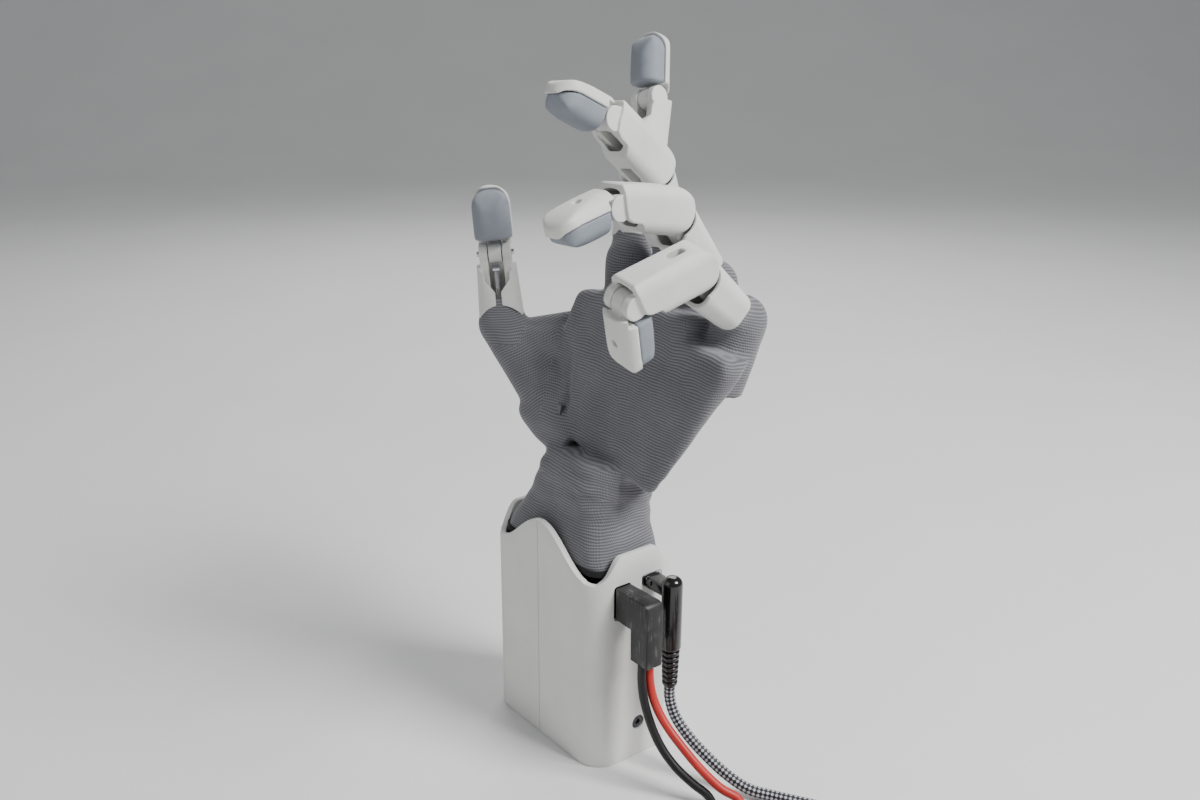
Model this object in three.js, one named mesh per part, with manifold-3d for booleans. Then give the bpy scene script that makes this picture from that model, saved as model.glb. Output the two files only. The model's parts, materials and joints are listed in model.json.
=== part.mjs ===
import * as THREE from 'three';
import { mergeVertices } from 'three/addons/utils/BufferGeometryUtils.js';
import Module from 'manifold-3d';

// Prosthetic left hand on its wrist housing, in millimetres. +Z is up, the palm faces -Y and the little
// finger is on the +X side. The origin is the middle of the housing's underside.

// Driving dimensions
const GAP = 0.3;

// Wrist housing
const HOUSING_W = 73;
const HOUSING_D = 43;
const HOUSING_R = 11;
const HOUSING_WALL = 3;
const ARCH_PEAK_Z = 99;
const ARCH_FOOT_Z = 83;
const ARCH_HALF = 29;
const PLATEAU_Z = 93;
const PLATEAU_HALF = 10;
const SEAM_X = -1.5;
const POWER_Y = -7.7;
const POWER_Z = 73.5;
const USB_Y = 7.3;
const USB_Z = 79.4;
const SCREW_Y = 1.4;
const SCREW_Z = 15.3;

// Wrist joint and the hand's resting pose
const WRIST = [3.5, 3.5, 111];
const PALM_TWIST = 3;
const DEVIATION = 3;
const WRIST_FLEXION = -12;
const BALL_R = 20;

// Fingers: base is the first knuckle in the palm's frame, then the resting angles in degrees
const FINGER_W = 15.6;
const FINGER_D = 15;
const PROXIMAL_L = 42;
const MIDDLE_L = 27;
const DISTAL_L = 28;
const FINGERS = {
  index: { base: [-19, 13.5, 89], splay: -16, bend: [-10, 1.5, 7] },
  middle: { base: [3.5, 16.5, 94], splay: -7.5, bend: [32, 30.5, 15] },
  ring: { base: [26.5, 15.5, 89], splay: -3, bend: [53, 41, 22] },
  pinky: { base: [48, 10.5, 80], splay: 10, bend: [66, 53, 92] },
};

// Thumb: its root pivot and its first knuckle in the palm's frame
const THUMB_ROOT = [-32, -7.5, 23];
const THUMB_KNUCKLE = [-55, -17, 52];
const THUMB_TURN = [48.5, -16, 1.5];
const THUMB_W = 16.4;
const THUMB_PROXIMAL_L = 30;

// Leads
const WIRE_D = 3.5;
const WIRE_COIL_R = 18.5;
const USB_CABLE_D = 4.5;
const USB_COIL_R = 24.75;
const FLOOR_TURN = -37.4;

// Finishes
const finish = (color, roughness, metalness = 0) =>
  new THREE.MeshStandardMaterial({ color, roughness, metalness });
const WHITE_SHELL = finish(0xdad9d6, 0.62);
const PAD_RUBBER = finish(0x8a9098, 0.75);
const KNIT = finish(0x6e6e72, 0.95);
const BLACK_PLASTIC = finish(0x151515, 0.45);
const STEEL = finish(0xb9babd, 0.25, 1);
const ALLOY = finish(0x8d9095, 0.4, 0.9);
const BOARD_GREEN = finish(0x1d4a32, 0.6);
const RED_SILICONE = finish(0xc8322b, 0.5);
const BRAID = finish(0x4a4c50, 0.8);

// Solids
const wasm = await Module();
wasm.setup();

function toSolid(geometry) {
  const bare = geometry.clone();
  bare.deleteAttribute('normal');
  bare.deleteAttribute('uv');
  const merged = mergeVertices(bare, 1e-4);
  return new wasm.Manifold(new wasm.Mesh({
    numProp: 3,
    vertProperties: new Float32Array(merged.attributes.position.array),
    triVerts: new Uint32Array(merged.index.array),
  }));
}

function toGeometry(solid) {
  const mesh = solid.getMesh();
  const geometry = new THREE.BufferGeometry();
  geometry.setAttribute('position', new THREE.BufferAttribute(mesh.vertProperties, 3));
  geometry.setIndex(new THREE.BufferAttribute(mesh.triVerts, 1));
  geometry.computeVertexNormals();
  return geometry;
}

const join = (...parts) => toGeometry(parts.map(toSolid).reduce((a, b) => a.add(b)));
const cut = (...parts) => toGeometry(parts.map(toSolid).reduce((a, b) => a.subtract(b)));
const common = (...parts) => toGeometry(parts.map(toSolid).reduce((a, b) => a.intersect(b)));
// Keeps what lies on the normal's side of a plane that far from the origin
const trimmed = (geometry, normal, offset) => toGeometry(toSolid(geometry).trimByPlane(normal, offset));

// Shapes
const rad = THREE.MathUtils.degToRad;
const polygon = (points) => new THREE.Shape(points.map(([u, v]) => new THREE.Vector2(u, v)));

function roundedRect(width, height, radius) {
  const w = width / 2 - radius;
  const h = height / 2 - radius;
  const shape = new THREE.Shape();
  shape.absarc(w, h, radius, 0, Math.PI / 2);
  shape.absarc(-w, h, radius, Math.PI / 2, Math.PI);
  shape.absarc(-w, -h, radius, Math.PI, 1.5 * Math.PI);
  shape.absarc(w, -h, radius, 1.5 * Math.PI, 2 * Math.PI);
  return shape;
}

function extrude(shape, length, segments) {
  return new THREE.ExtrudeGeometry(shape, { depth: length, bevelEnabled: false, curveSegments: segments });
}

const extrudeZ = (shape, z0, z1, segments = 3) => extrude(shape, z1 - z0, segments).translate(0, 0, z0);

// A side outline, drawn as (y, z), run from x0 to x1
function extrudeX(shape, x0, x1, segments = 4) {
  const turn = new THREE.Matrix4().set(0, 0, 1, x0, 1, 0, 0, 0, 0, 1, 0, 0, 0, 0, 0, 1);
  return extrude(shape, x1 - x0, segments).applyMatrix4(turn);
}

// A front outline, drawn as (x, z), run from y0 to y1
function extrudeY(shape, y0, y1, segments = 4) {
  const turn = new THREE.Matrix4().set(1, 0, 0, 0, 0, 0, -1, y1, 0, 1, 0, 0, 0, 0, 0, 1);
  return extrude(shape, y1 - y0, segments).applyMatrix4(turn);
}

function box(x0, x1, y0, y1, z0, z1) {
  return new THREE.BoxGeometry(x1 - x0, y1 - y0, z1 - z0).translate((x0 + x1) / 2, (y0 + y1) / 2, (z0 + z1) / 2);
}

function lathe(points, sides = 18) {
  return new THREE.LatheGeometry(points.map(([r, h]) => new THREE.Vector2(r, h)), sides).rotateX(Math.PI / 2);
}

const rodZ = (r, z0, z1, sides = 16) => lathe([[0, z0], [r, z0], [r, z1], [0, z1]], sides);
const rodX = (r, x0, x1, sides = 16) => rodZ(r, x0, x1, sides).rotateY(Math.PI / 2);
const rodY = (r, y0, y1, sides = 16) => rodZ(r, -y1, -y0, sides).rotateX(Math.PI / 2);

// A rod between two points
function rodBetween(a, b, r0, r1, sides = 14) {
  const start = new THREE.Vector3(...a);
  const along = new THREE.Vector3(...b).sub(start);
  const turn = new THREE.Quaternion().setFromUnitVectors(new THREE.Vector3(0, 0, 1), along.clone().normalize());
  const profile = [[0, 0], [r0, 0], [r1, along.length()], [0, along.length()]];
  return lathe(profile, sides).applyQuaternion(turn).translate(...a);
}

// A lug: a plate from x0 to x1 with a round eye at (0, z), running to z1
function lug(x0, x1, r, z, z1) {
  const lo = Math.min(z, z1);
  const hi = Math.max(z, z1);
  return join(rodX(r, x0, x1, 14).translate(0, 0, z), box(x0, x1, -r * 0.8, r * 0.8, lo, hi));
}

// Assembly
const hand = new THREE.Group();
const group = (parent, position, turnZ = 0, turnY = 0, turnX = 0) => {
  const frame = new THREE.Group();
  frame.position.set(...position);
  frame.rotation.set(rad(turnX), rad(turnY), rad(turnZ), 'ZYX');
  parent.add(frame);
  return frame;
};

function add(parent, name, geometry, material) {
  const mesh = new THREE.Mesh(geometry, material);
  mesh.name = name;
  parent.add(mesh);
}

// ---------------------------------------------------------------- wrist housing
const housing = group(hand, [0, 0, 0]);

// The top edge rises to an arch on the palm and back faces and to a flat step on the two sides
function topEdgeRoom() {
  const arch = new THREE.Shape();
  arch.moveTo(-60, -5);
  arch.lineTo(60, -5);
  arch.lineTo(60, ARCH_FOOT_Z - 1);
  arch.lineTo(ARCH_HALF + 4, ARCH_FOOT_Z - 1);
  arch.bezierCurveTo(ARCH_HALF - 8, ARCH_FOOT_Z, 14, ARCH_PEAK_Z, 0, ARCH_PEAK_Z);
  arch.bezierCurveTo(-14, ARCH_PEAK_Z, 8 - ARCH_HALF, ARCH_FOOT_Z, -ARCH_HALF - 4, ARCH_FOOT_Z - 1);
  arch.lineTo(-60, ARCH_FOOT_Z - 1);
  const step = [[-40, -5], [40, -5], [40, ARCH_FOOT_Z - 1], [PLATEAU_HALF + 9, ARCH_FOOT_Z - 1],
    [PLATEAU_HALF + 3, PLATEAU_Z - 2], [PLATEAU_HALF - 1, PLATEAU_Z], [1 - PLATEAU_HALF, PLATEAU_Z],
    [-PLATEAU_HALF - 3, PLATEAU_Z - 2], [-PLATEAU_HALF - 9, ARCH_FOOT_Z - 1], [-40, ARCH_FOOT_Z - 1]];
  return join(extrudeY(arch, -40, 40, 8), extrudeX(polygon(step), -60, 60));
}

function housingWall() {
  const inset = 2 * HOUSING_WALL;
  const outer = extrudeZ(roundedRect(HOUSING_W, HOUSING_D, HOUSING_R), 0, 110, 5);
  const inner = extrudeZ(roundedRect(HOUSING_W - inset, HOUSING_D - inset, HOUSING_R - HOUSING_WALL), -1, 111, 5);
  const wall = cut(outer, inner);
  const powerHole = box(HOUSING_W / 2 - 5, HOUSING_W / 2 + 2, POWER_Y - 4.3, POWER_Y + 4.3, 66, 81);
  const usbHole = box(HOUSING_W / 2 - 5, HOUSING_W / 2 + 2, USB_Y - 5.3, USB_Y + 5.3, USB_Z - 2.5, USB_Z + 2.5);
  const x = HOUSING_W / 2;
  const screwSeat = rodX(3.1, x - 1.9, x + 1, 20).translate(0, SCREW_Y, SCREW_Z);
  const screwBore = rodX(1.6, x - 5, x + 1, 12).translate(0, SCREW_Y, SCREW_Z);
  const neckRoom = new THREE.SphereGeometry(BALL_R + 0.8, 24, 14).translate(...WRIST);
  return common(cut(wall, powerHole, usbHole, screwSeat, screwBore, neckRoom), topEdgeRoom());
}

const wall = housingWall();
add(housing, 'housing_ulnar_shell', common(wall, box(SEAM_X + GAP / 2, 60, -40, 40, -5, 120)), WHITE_SHELL);
add(housing, 'housing_radial_shell', common(wall, box(-60, SEAM_X - GAP / 2, -40, 40, -5, 120)), WHITE_SHELL);

const innerW = HOUSING_W - 2 * HOUSING_WALL - 2 * GAP;
const innerD = HOUSING_D - 2 * HOUSING_WALL - 2 * GAP;
add(housing, 'base_plate', extrudeZ(roundedRect(innerW, innerD, 7.5), 0, 4, 4), BLACK_PLASTIC);

const gasketOuter = roundedRect(innerW, innerD, 7.5);
gasketOuter.holes.push(roundedRect(innerW - 4, innerD - 4, 5.5));
add(housing, 'collar_gasket', extrudeZ(gasketOuter, 84.2, 86.4, 4), BLACK_PLASTIC);

function housingScrew() {
  const x = HOUSING_W / 2;
  const head = rodX(2.8, x - 1.6, x - 0.4, 20);
  const socket = rodX(1.3, x - 1.0, x + 1, 6);
  return cut(join(head, rodX(1.3, x - 7, x - 1.5, 12)), socket).translate(0, SCREW_Y, SCREW_Z);
}
add(housing, 'housing_screw', housingScrew(), STEEL);

function socketBody(y, z, w, h, mouthW, mouthH) {
  const x = HOUSING_W / 2;
  const inside = box(x - 14, x - HOUSING_WALL - 1, y - w / 2 - 0.8, y + w / 2 + 0.8, z - h / 2 - 2, z + h / 2 + 2);
  const nose = box(x - 8, x - 0.2, y - w / 2, y + w / 2, z - h / 2, z + h / 2);
  const mouth = box(x - 7, x + 1, y - mouthW / 2, y + mouthW / 2, z - mouthH / 2, z + mouthH / 2);
  return cut(join(inside, nose), mouth);
}
const powerInside = { w: 8, h: 14.4 };
add(housing, 'power_socket', socketBody(POWER_Y, POWER_Z, powerInside.w, powerInside.h, 5.4, 11.6), BLACK_PLASTIC);
add(housing, 'usb_socket', socketBody(USB_Y, USB_Z, 10, 4.4, 8.4, 2.6), STEEL);

add(housing, 'controller_board', box(-27, 20, 14.4, 16, 10, 66), BOARD_GREEN);

function wristMotor() {
  return join(rodZ(10.5, 12, 50, 16), rodZ(7.5, 50, 58, 16), rodZ(2.5, 58, 64, 12));
}
add(housing, 'flexion_motor', wristMotor().translate(-14, -2, 0), ALLOY);
add(housing, 'deviation_motor', wristMotor().translate(11, -2, 0), ALLOY);

// The post stands on a bulkhead in the housing and holds the wrist cross between two cheeks
function wristPost() {
  const [x, y, z] = WRIST;
  const bulkhead = box(-30, 21, -16, 16, 66.5, 70.5);
  const column = box(x - 5, x + 5, y - 7, y + 7, 70, z - 15);
  const bridge = box(x - 4.5, x + 4.5, y - 9.6, y + 9.6, z - 19, z - 13);
  const cheek = extrudeY(polygon([[-4.5, -15], [4.5, -15], [4.5, 0], [3, 4.5], [-3, 4.5], [-4.5, 0]]), 6.4, 9.6);
  const twin = cheek.clone().translate(0, -16, 0);
  return join(bulkhead, column, bridge, cheek.translate(x, y, z), twin.translate(x, y, z));
}
add(housing, 'wrist_post', wristPost(), ALLOY);

// The knit cuff is tucked inside the housing's top edge and narrows to the wrist
function sleeveCuff() {
  const [x, y, z] = WRIST;
  const rings = [[29.6, 15.9, 0, 0, 84.2], [28, 15.4, 0.8, 0.4, 88], [22.5, 15.4, 2.4, 1.8, 94], [19.5, 16.2, 3, 1.8, 98.5]];
  const outer = loft(rings.map(([a, b, cx, cy, h]) => ({ a, b, cx, cy, h })));
  const innerRings = rings.map(([a, b, cx, cy, h]) => ({ a: a - 2.2, b: b - 2.2, cx, cy, h }));
  innerRings[0].h -= 1;
  innerRings[3].h += 1;
  const ball = new THREE.SphereGeometry(BALL_R + 0.8, 24, 14).translate(x, y, z);
  return cut(outer, loft(innerRings), ball);
}

// A closed solid through level ovals
function loft(ovals, sides = 24) {
  const positions = [];
  const faces = [];
  ovals.forEach(({ a, b, cx, cy, h }) => {
    for (let i = 0; i < sides; i += 1) {
      const t = (2 * Math.PI * i) / sides;
      positions.push(cx + a * Math.cos(t), cy + b * Math.sin(t), h);
    }
  });
  const last = ovals.length - 1;
  positions.push(ovals[0].cx, ovals[0].cy, ovals[0].h, ovals[last].cx, ovals[last].cy, ovals[last].h);
  const low = ovals.length * sides;
  for (let i = 0; i < sides; i += 1) {
    const j = (i + 1) % sides;
    for (let k = 0; k < last; k += 1) {
      const p = k * sides;
      faces.push(p + i, p + j, p + sides + j, p + i, p + sides + j, p + sides + i);
    }
    faces.push(low, j, i, low + 1, last * sides + i, last * sides + j);
  }
  const geometry = new THREE.BufferGeometry();
  geometry.setAttribute('position', new THREE.Float32BufferAttribute(positions, 3));
  geometry.setIndex(faces);
  return geometry;
}
add(housing, 'sleeve_cuff', sleeveCuff(), KNIT);

// ---------------------------------------------------------------- wrist cross
const twisted = group(hand, WRIST, PALM_TWIST, 0, 0);
const cross = group(twisted, [0, 0, 0], 0, DEVIATION, 0);
function wristCross() {
  return join(box(-5.8, 5.8, -5.8, 5.8, -5.8, 5.8), rodY(3, -6.1, 6.1, 16), rodX(3, -6.1, 6.1, 16));
}
add(cross, 'wrist_cross', wristCross(), STEEL);

// A ball-shaped band of knit round the wrist centre keeps its shape whichever way the wrist bends
function sleeveNeck() {
  const arc = (r, from, to) => Array.from({ length: 6 }, (_, i) => {
    const t = rad(from + ((to - from) * i) / 5);
    return [r * Math.sin(t), r * Math.cos(t)];
  });
  const profile = [...arc(BALL_R, 124, 56), ...arc(BALL_R - 2.4, 56, 124)];
  return lathe([...profile, profile[0]], 26);
}
add(cross, 'sleeve_neck', sleeveNeck(), KNIT);

// ---------------------------------------------------------------- palm
const palm = group(cross, [0, 0, 0], 0, 0, WRIST_FLEXION);
const PALM_FRONT_Y = -8;
const PALM_BACK_Y = 24.5;
const PALM_OUTLINE = [[-14, 8], [25, 6], [41, 15], [59, 63], [58, 69], [38.5, 69], [37.5, 78], [15.5, 78],
  [14.5, 83], [-7, 83], [-8, 78], [-28, 78], [-29, 50], [-27, 18]];

// The outline drawn in towards the palm's middle by a wall's thickness
function palmOutline(inset) {
  const [mx, mz] = [14, 43];
  return polygon(PALM_OUTLINE.map(([x, z]) => {
    const reach = Math.hypot(x - mx, z - mz);
    return [mx + (x - mx) * (1 - inset / reach), mz + (z - mz) * (1 - inset / reach)];
  }));
}

const thumbShelf = (r, x1, z0, z1) => join(rodZ(r, z0, z1, 20).translate(THUMB_ROOT[0], THUMB_ROOT[1], 0),
  box(THUMB_ROOT[0], x1, THUMB_ROOT[1] - r * 0.75, THUMB_ROOT[1] + r * 0.75, z0, z1));

function palmTongues(half, r, down) {
  return Object.values(FINGERS).map(({ base, splay }) => lug(-half, half, r, 0, -down)
    .rotateY(rad(splay)).translate(...base));
}

// The palm's back is cut away on a slant towards the little finger's side
const palmBack = (geometry, inset) => trimmed(geometry, [-0.7128, -0.5845, 0.388], inset - 21.1);

function sleevePalm() {
  const bevel = { bevelEnabled: true, bevelSize: 4, bevelThickness: 5, bevelOffset: -4, bevelSegments: 2 };
  const depth = PALM_BACK_Y - PALM_FRONT_Y - 10;
  const turn = new THREE.Matrix4().set(1, 0, 0, 0, 0, 0, -1, PALM_BACK_Y - 5, 0, 1, 0, 0, 0, 0, 0, 1);
  const outer = palmBack(new THREE.ExtrudeGeometry(palmOutline(0), { depth, ...bevel }).applyMatrix4(turn), 0);
  const inner = palmBack(extrudeY(palmOutline(5.5), PALM_FRONT_Y + 3, PALM_BACK_Y - 3), 3);
  const tongueRoom = palmTongues(4.6, 8.2, 26);
  const ball = new THREE.SphereGeometry(BALL_R + 0.8, 24, 14);
  const neckHole = rodZ(15.5, -5, 22, 24);
  return cut(outer, inner, ball, neckHole, thumbShelf(8.4, -17, 14.5, 28.5), ...tongueRoom);
}
add(palm, 'sleeve_palm', sleevePalm(), KNIT);

function palmFrame() {
  const plate = palmBack(extrudeY(palmOutline(7.5), 9, 17.5), 4);
  const pockets = [[-16, -2], [2.5, 16.5], [21, 35]].map(([x0, x1]) => box(x0, x1, 12, 25, 29, 61));
  const cheek = extrudeX(polygon([[-4.5, 0], [-3, -4.5], [3, -4.5], [4.5, 0], [4.5, 23], [-4.5, 23]]), 6.4, 9.6);
  const twin = cheek.clone().translate(-16, 0, 0);
  const bridge = box(-10, 10, -5, 12, 20.8, 24.5);
  const shelf = [thumbShelf(5.6, -18, 16, 19.6), box(-21, -17.5, -9.5, -2.5, 16, 27), box(-21, -17.5, -4.5, 12.5, 23, 27)];
  const ball = new THREE.SphereGeometry(BALL_R + 0.8, 24, 14);
  const chassis = cut(join(plate, ...shelf, ...palmTongues(3.6, 6.8, 24)), ball, ...pockets);
  return join(chassis, bridge, cheek, twin);
}
add(palm, 'palm_frame', palmFrame(), ALLOY);

Object.keys(FINGERS).forEach((name, i) => {
  const x = [-13, 2, 17, 32][i];
  const drive = join(rodZ(5.6, 30, 60, 14), rodZ(2, 60, 64, 10)).translate(x, 1, 0);
  add(palm, `drive_${name}`, drive, ALLOY);
});

// ---------------------------------------------------------------- fingers
const section = (z0, z1, width = FINGER_W) => extrudeZ(roundedRect(width, FINGER_D, 6.2), z0, z1, 3);
const hollow = (z0, z1, width = FINGER_W) => extrudeZ(roundedRect(width - 4, FINGER_D - 4, 4.4), z0, z1, 2);
const KNUCKLE_R = 9.3;

function proximalShell() {
  const side = extrudeX(polygon([[-8, 10.5], [-8, 29.5], [-3.5, 33], [8, 42], [8, 10.5]]), -8, 8);
  const knuckleRoom = rodX(KNUCKLE_R + 0.7, -9, 9, 22).translate(0, 0, PROXIMAL_L);
  const shell = cut(common(section(10.5, 42), side), knuckleRoom, hollow(13, 50), box(-2.4, 2.4, -10, -4, 19, 36));
  const fork = [lug(4, 7.4, 6.6, 0, 12), lug(-7.4, -4, 6.6, 0, 12)];
  const tongue = lug(-2.4, 2.4, 4.6, PROXIMAL_L, 11.5);
  return cut(join(shell, tongue, ...fork), rodX(1.7, -3, 3, 10).translate(0, 0, PROXIMAL_L));
}

function middleShell() {
  const half = FINGER_W / 2;
  const drum = lathe([[0, -half], [7.8, -half], [KNUCKLE_R, 2 - half], [KNUCKLE_R, half - 2], [7.8, half],
    [0, half]], 20).rotateY(Math.PI / 2);
  const side = extrudeX(polygon([[-9.2, 0], [-7.9, 12.5], [-3, 17.5], [7.6, 21.5], [9.2, 0]]), -8, 8);
  const tube = common(extrudeZ(roundedRect(FINGER_W, 2 * KNUCKLE_R, 6.2), 0, 22, 3), side);
  const slot = box(-2.9, 2.9, -10, 5, -10, 7);
  const shell = cut(join(drum, tube), hollow(6, 30), slot, rodX(1.7, -9, 9, 10));
  return join(shell, lug(3.1, 6.3, 4.5, MIDDLE_L, 12), lug(-6.3, -3.1, 4.5, MIDDLE_L, 12));
}

const pinX = (r, x0, x1) => rodX(r, x0, x1, 10);

// The fingertip's whole outline, rounded at the tip from the side and from the front
function tipForm(width, z0) {
  const front = new THREE.Shape();
  const r = width / 2;
  front.moveTo(-r, z0);
  front.lineTo(r, z0);
  front.absarc(0, DISTAL_L - r, r, 0, Math.PI);
  const side = new THREE.Shape();
  side.moveTo(-8, z0);
  side.lineTo(8, z0);
  side.bezierCurveTo(7.6, 18, 5, DISTAL_L, 1, DISTAL_L);
  side.bezierCurveTo(-5, DISTAL_L, -8, 22, -8, 14);
  return common(section(z0, DISTAL_L, width), extrudeY(front, -9, 9, 5), extrudeX(side, -9, 9, 4));
}

function nailShell(width) {
  const form = tipForm(width, -3);
  const cap = common(form, box(-9, 9, 1.6, 9, 5.8, 30));
  const hood = common(form, box(-9, 9, 5.2, 9, -3, 6.5));
  const tongue = join(rodX(4.3, -2.7, 2.7, 14), box(-2.7, 2.7, 1.6, 4.3, 0, 6.5));
  return cut(join(cap, hood, tongue), rodY(1.3, 3.4, 9, 8).translate(0, 0, 14));
}

const tipPad = (width) => common(tipForm(width, 5.8), box(-9, 9, -9, 1.3, 5.8, 30));

Object.entries(FINGERS).forEach(([name, { base, splay, bend }]) => {
  const proximal = group(group(palm, base, 0, splay, 0), [0, 0, 0], 0, 0, bend[0]);
  const middle = group(proximal, [0, 0, PROXIMAL_L], 0, 0, bend[1]);
  const distal = group(middle, [0, 0, MIDDLE_L], 0, 0, bend[2]);
  add(proximal, `${name}_proximal_shell`, proximalShell(), WHITE_SHELL);
  add(middle, `${name}_middle_shell`, middleShell(), WHITE_SHELL);
  add(middle, `${name}_knuckle_pin`, pinX(1.4, -7.2, 7.2), STEEL);
  add(distal, `${name}_nail_shell`, nailShell(FINGER_W), WHITE_SHELL);
  add(distal, `${name}_tip_pad`, tipPad(FINGER_W), PAD_RUBBER);
});

// ---------------------------------------------------------------- thumb
const thumbBase = group(palm, THUMB_ROOT);
const reach = THUMB_KNUCKLE.map((value, i) => value - THUMB_ROOT[i]);
const thumbTip = group(thumbBase, reach, ...THUMB_TURN);

function thumbMetacarpal() {
  const drum = rodZ(5.6, -3, 5, 20);
  const arm = rodBetween([0, 0, 0], reach, 5.2, 4.4, 12);
  const turn = new THREE.Matrix4().makeRotationFromEuler(
    new THREE.Euler(rad(THUMB_TURN[2]), rad(THUMB_TURN[1]), rad(THUMB_TURN[0]), 'ZYX'),
  ).setPosition(...reach);
  const forkRoom = [box(3.6, 9, -9, 9, -7.6, 12), box(-9, -3.6, -9, 9, -7.6, 12)];
  const tongue = lug(-3.6, 3.6, 6.4, 0, -8).applyMatrix4(turn);
  return join(cut(join(drum, arm), ...forkRoom.map((room) => room.applyMatrix4(turn))), tongue);
}
add(thumbBase, 'thumb_metacarpal', thumbMetacarpal(), ALLOY);

// The knit round the thumb's root widens towards the first knuckle
function sleeveThumb() {
  const at = (k) => reach.map((value) => value * k);
  const outer = rodBetween(at(0.24), at(0.7), 7.9, 10.6, 18);
  return cut(outer, rodBetween(at(0.1), at(0.9), 6, 5.9, 16));
}
add(thumbBase, 'sleeve_thumb', sleeveThumb(), KNIT);

const thumbProximal = group(thumbTip, [0, 0, 0]);
const thumbDistal = group(thumbTip, [0, 0, THUMB_PROXIMAL_L]);
function thumbProximalShell() {
  const side = extrudeX(polygon([[-8, 8.2], [-8, 21], [-2, 25], [8, 25], [8, 8.2]]), -9, 9);
  const shell = cut(common(section(8.2, 26, THUMB_W), side), hollow(10.5, 30, THUMB_W), box(-3, 3, -10, -4, 9, 30));
  const fork = [lug(4, 7.6, 6.4, 0, 10), lug(-7.6, -4, 6.4, 0, 10)];
  const eyes = [lug(3.1, 6.6, 4.5, THUMB_PROXIMAL_L, 16), lug(-6.6, -3.1, 4.5, THUMB_PROXIMAL_L, 16)];
  return cut(join(shell, ...fork, ...eyes), rodX(1.4, -9, 9, 12).translate(0, 0, THUMB_PROXIMAL_L));
}
add(thumbProximal, 'thumb_proximal_shell', thumbProximalShell(), WHITE_SHELL);
const pushRod = join(rodZ(1.1, 10.9, 24, 12), rodX(1.6, -1.4, 1.4, 12).translate(0, 0, 24));
add(thumbProximal, 'thumb_push_rod', pushRod.translate(0, -3.4, 0), STEEL);

function thumbNailShell() {
  return cut(nailShell(THUMB_W), rodX(1.4, -4, 4, 12));
}
add(thumbDistal, 'thumb_nail_shell', thumbNailShell(), WHITE_SHELL);
add(thumbDistal, 'thumb_tip_pad', tipPad(THUMB_W), PAD_RUBBER);
add(thumbProximal, 'thumb_tip_pin', pinX(1.1, -7.8, 7.8).translate(0, 0, THUMB_PROXIMAL_L), STEEL);

// ---------------------------------------------------------------- plugs and leads
function powerPlug() {
  const x = HOUSING_W / 2 + GAP;
  const side = [[x, POWER_Z - 6.5], [46, POWER_Z - 6.5], [46, 53.5], [56, 53.5], [56, POWER_Z + 7.3], [x, POWER_Z + 7]];
  const nose = box(x - 6, x + 1, POWER_Y - 2.4, POWER_Y + 2.4, POWER_Z - 5.5, POWER_Z + 5.5);
  return join(extrudeY(polygon(side), POWER_Y - 4, POWER_Y + 4), nose);
}
add(housing, 'power_plug', powerPlug(), BLACK_PLASTIC);

// A right-angled moulding with a domed barrel and a ringed strain relief
function usbPlug() {
  const barrel = lathe([[0, 49.5], [3.6, 49.5], [4.15, 52], [4.15, 82.4], [3.1, 84.2], [0, 84.7]], 20);
  const neck = box(HOUSING_W / 2 + GAP, 50, -3.4, 3.4, USB_Z - 3.5, USB_Z + 1.5);
  const nose = box(HOUSING_W / 2 - 6, 40, -3.9, 3.9, USB_Z - 1, USB_Z + 1);
  const rings = [];
  for (let i = 4; i >= 0; i -= 1) rings.push([2.75, 48.1 - 2.6 * i], [3.4 - 0.08 * i, 49.2 - 2.6 * i]);
  const relief = lathe([[0, 36.7], [2.7, 36.7], ...rings, [3.4, 50], [0, 50]], 14);
  return join(barrel.translate(48.6, 0, 0), neck, nose, relief.translate(48.6, 0, 0)).translate(0, USB_Y, 0);
}
add(housing, 'usb_plug', usbPlug(), BLACK_PLASTIC);

// The floor frame runs towards the viewer (n) and across (t)
const floor = group(hand, [0, 0, 0], FLOOR_TURN, 0, 0);
const onFloor = (n, t, z) => new THREE.Vector3(n, t, z).applyAxisAngle(new THREE.Vector3(0, 0, 1), rad(FLOOR_TURN));

function cord(points, diameter, sides, steps) {
  const path = new THREE.CatmullRomCurve3(points, false, 'centripetal');
  const ring = new THREE.Shape(Array.from({ length: sides }, (_, i) => {
    const t = (2 * Math.PI * i) / sides;
    return new THREE.Vector2((diameter / 2) * Math.cos(t), (diameter / 2) * Math.sin(t));
  }));
  return new THREE.ExtrudeGeometry(ring, { steps, extrudePath: path, bevelEnabled: false });
}

const spot = (x, y, z) => new THREE.Vector3(x, y, z);
const BLACK_ROUTE = [spot(51, -9.6, 53.2), spot(51, -9.6, 46), spot(52.3, -9.6, 39), spot(55, -9.2, 31.5),
  spot(58.5, -8.4, 24.5), spot(62.5, -7, 18.5), spot(67.5, -4.6, 12.8), spot(73, -1.4, 8), spot(79, 1.3, 4.6),
  onFloor(70, 51.4, 2.4), onFloor(77, 52, 2), onFloor(83.8, 52, 2)];
const RED_ROUTE = [spot(51, -5.7, 53.2), spot(51.1, -5.7, 46), spot(52.8, -5.7, 39.5), spot(56.5, -5.2, 33),
  spot(61.5, -4.2, 27.5), spot(66.6, -2.6, 22.6), spot(72, -0.6, 17.5), spot(77, 1.8, 12.8), spot(82.5, 5, 8.2),
  spot(88, 9, 4.8), onFloor(70, 60.9, 2.6), onFloor(77, 61, 2), onFloor(83.8, 61, 2)];
const USB_ROUTE = [spot(48.6, 7.3, 36.4), spot(48.8, 7.3, 31), spot(52, 7.6, 24), spot(58.5, 9, 17.5),
  spot(67, 11.5, 11.5), spot(76, 14.4, 6.6), spot(84.5, 18, 3.4), spot(92.5, 23.5, 2.5), onFloor(62, 82, 2.5),
  onFloor(66.5, 93, 2.5), onFloor(74, 103, 2.5), onFloor(82, 109, 2.5), onFloor(90.4, 110.5, 2.5)];
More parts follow.
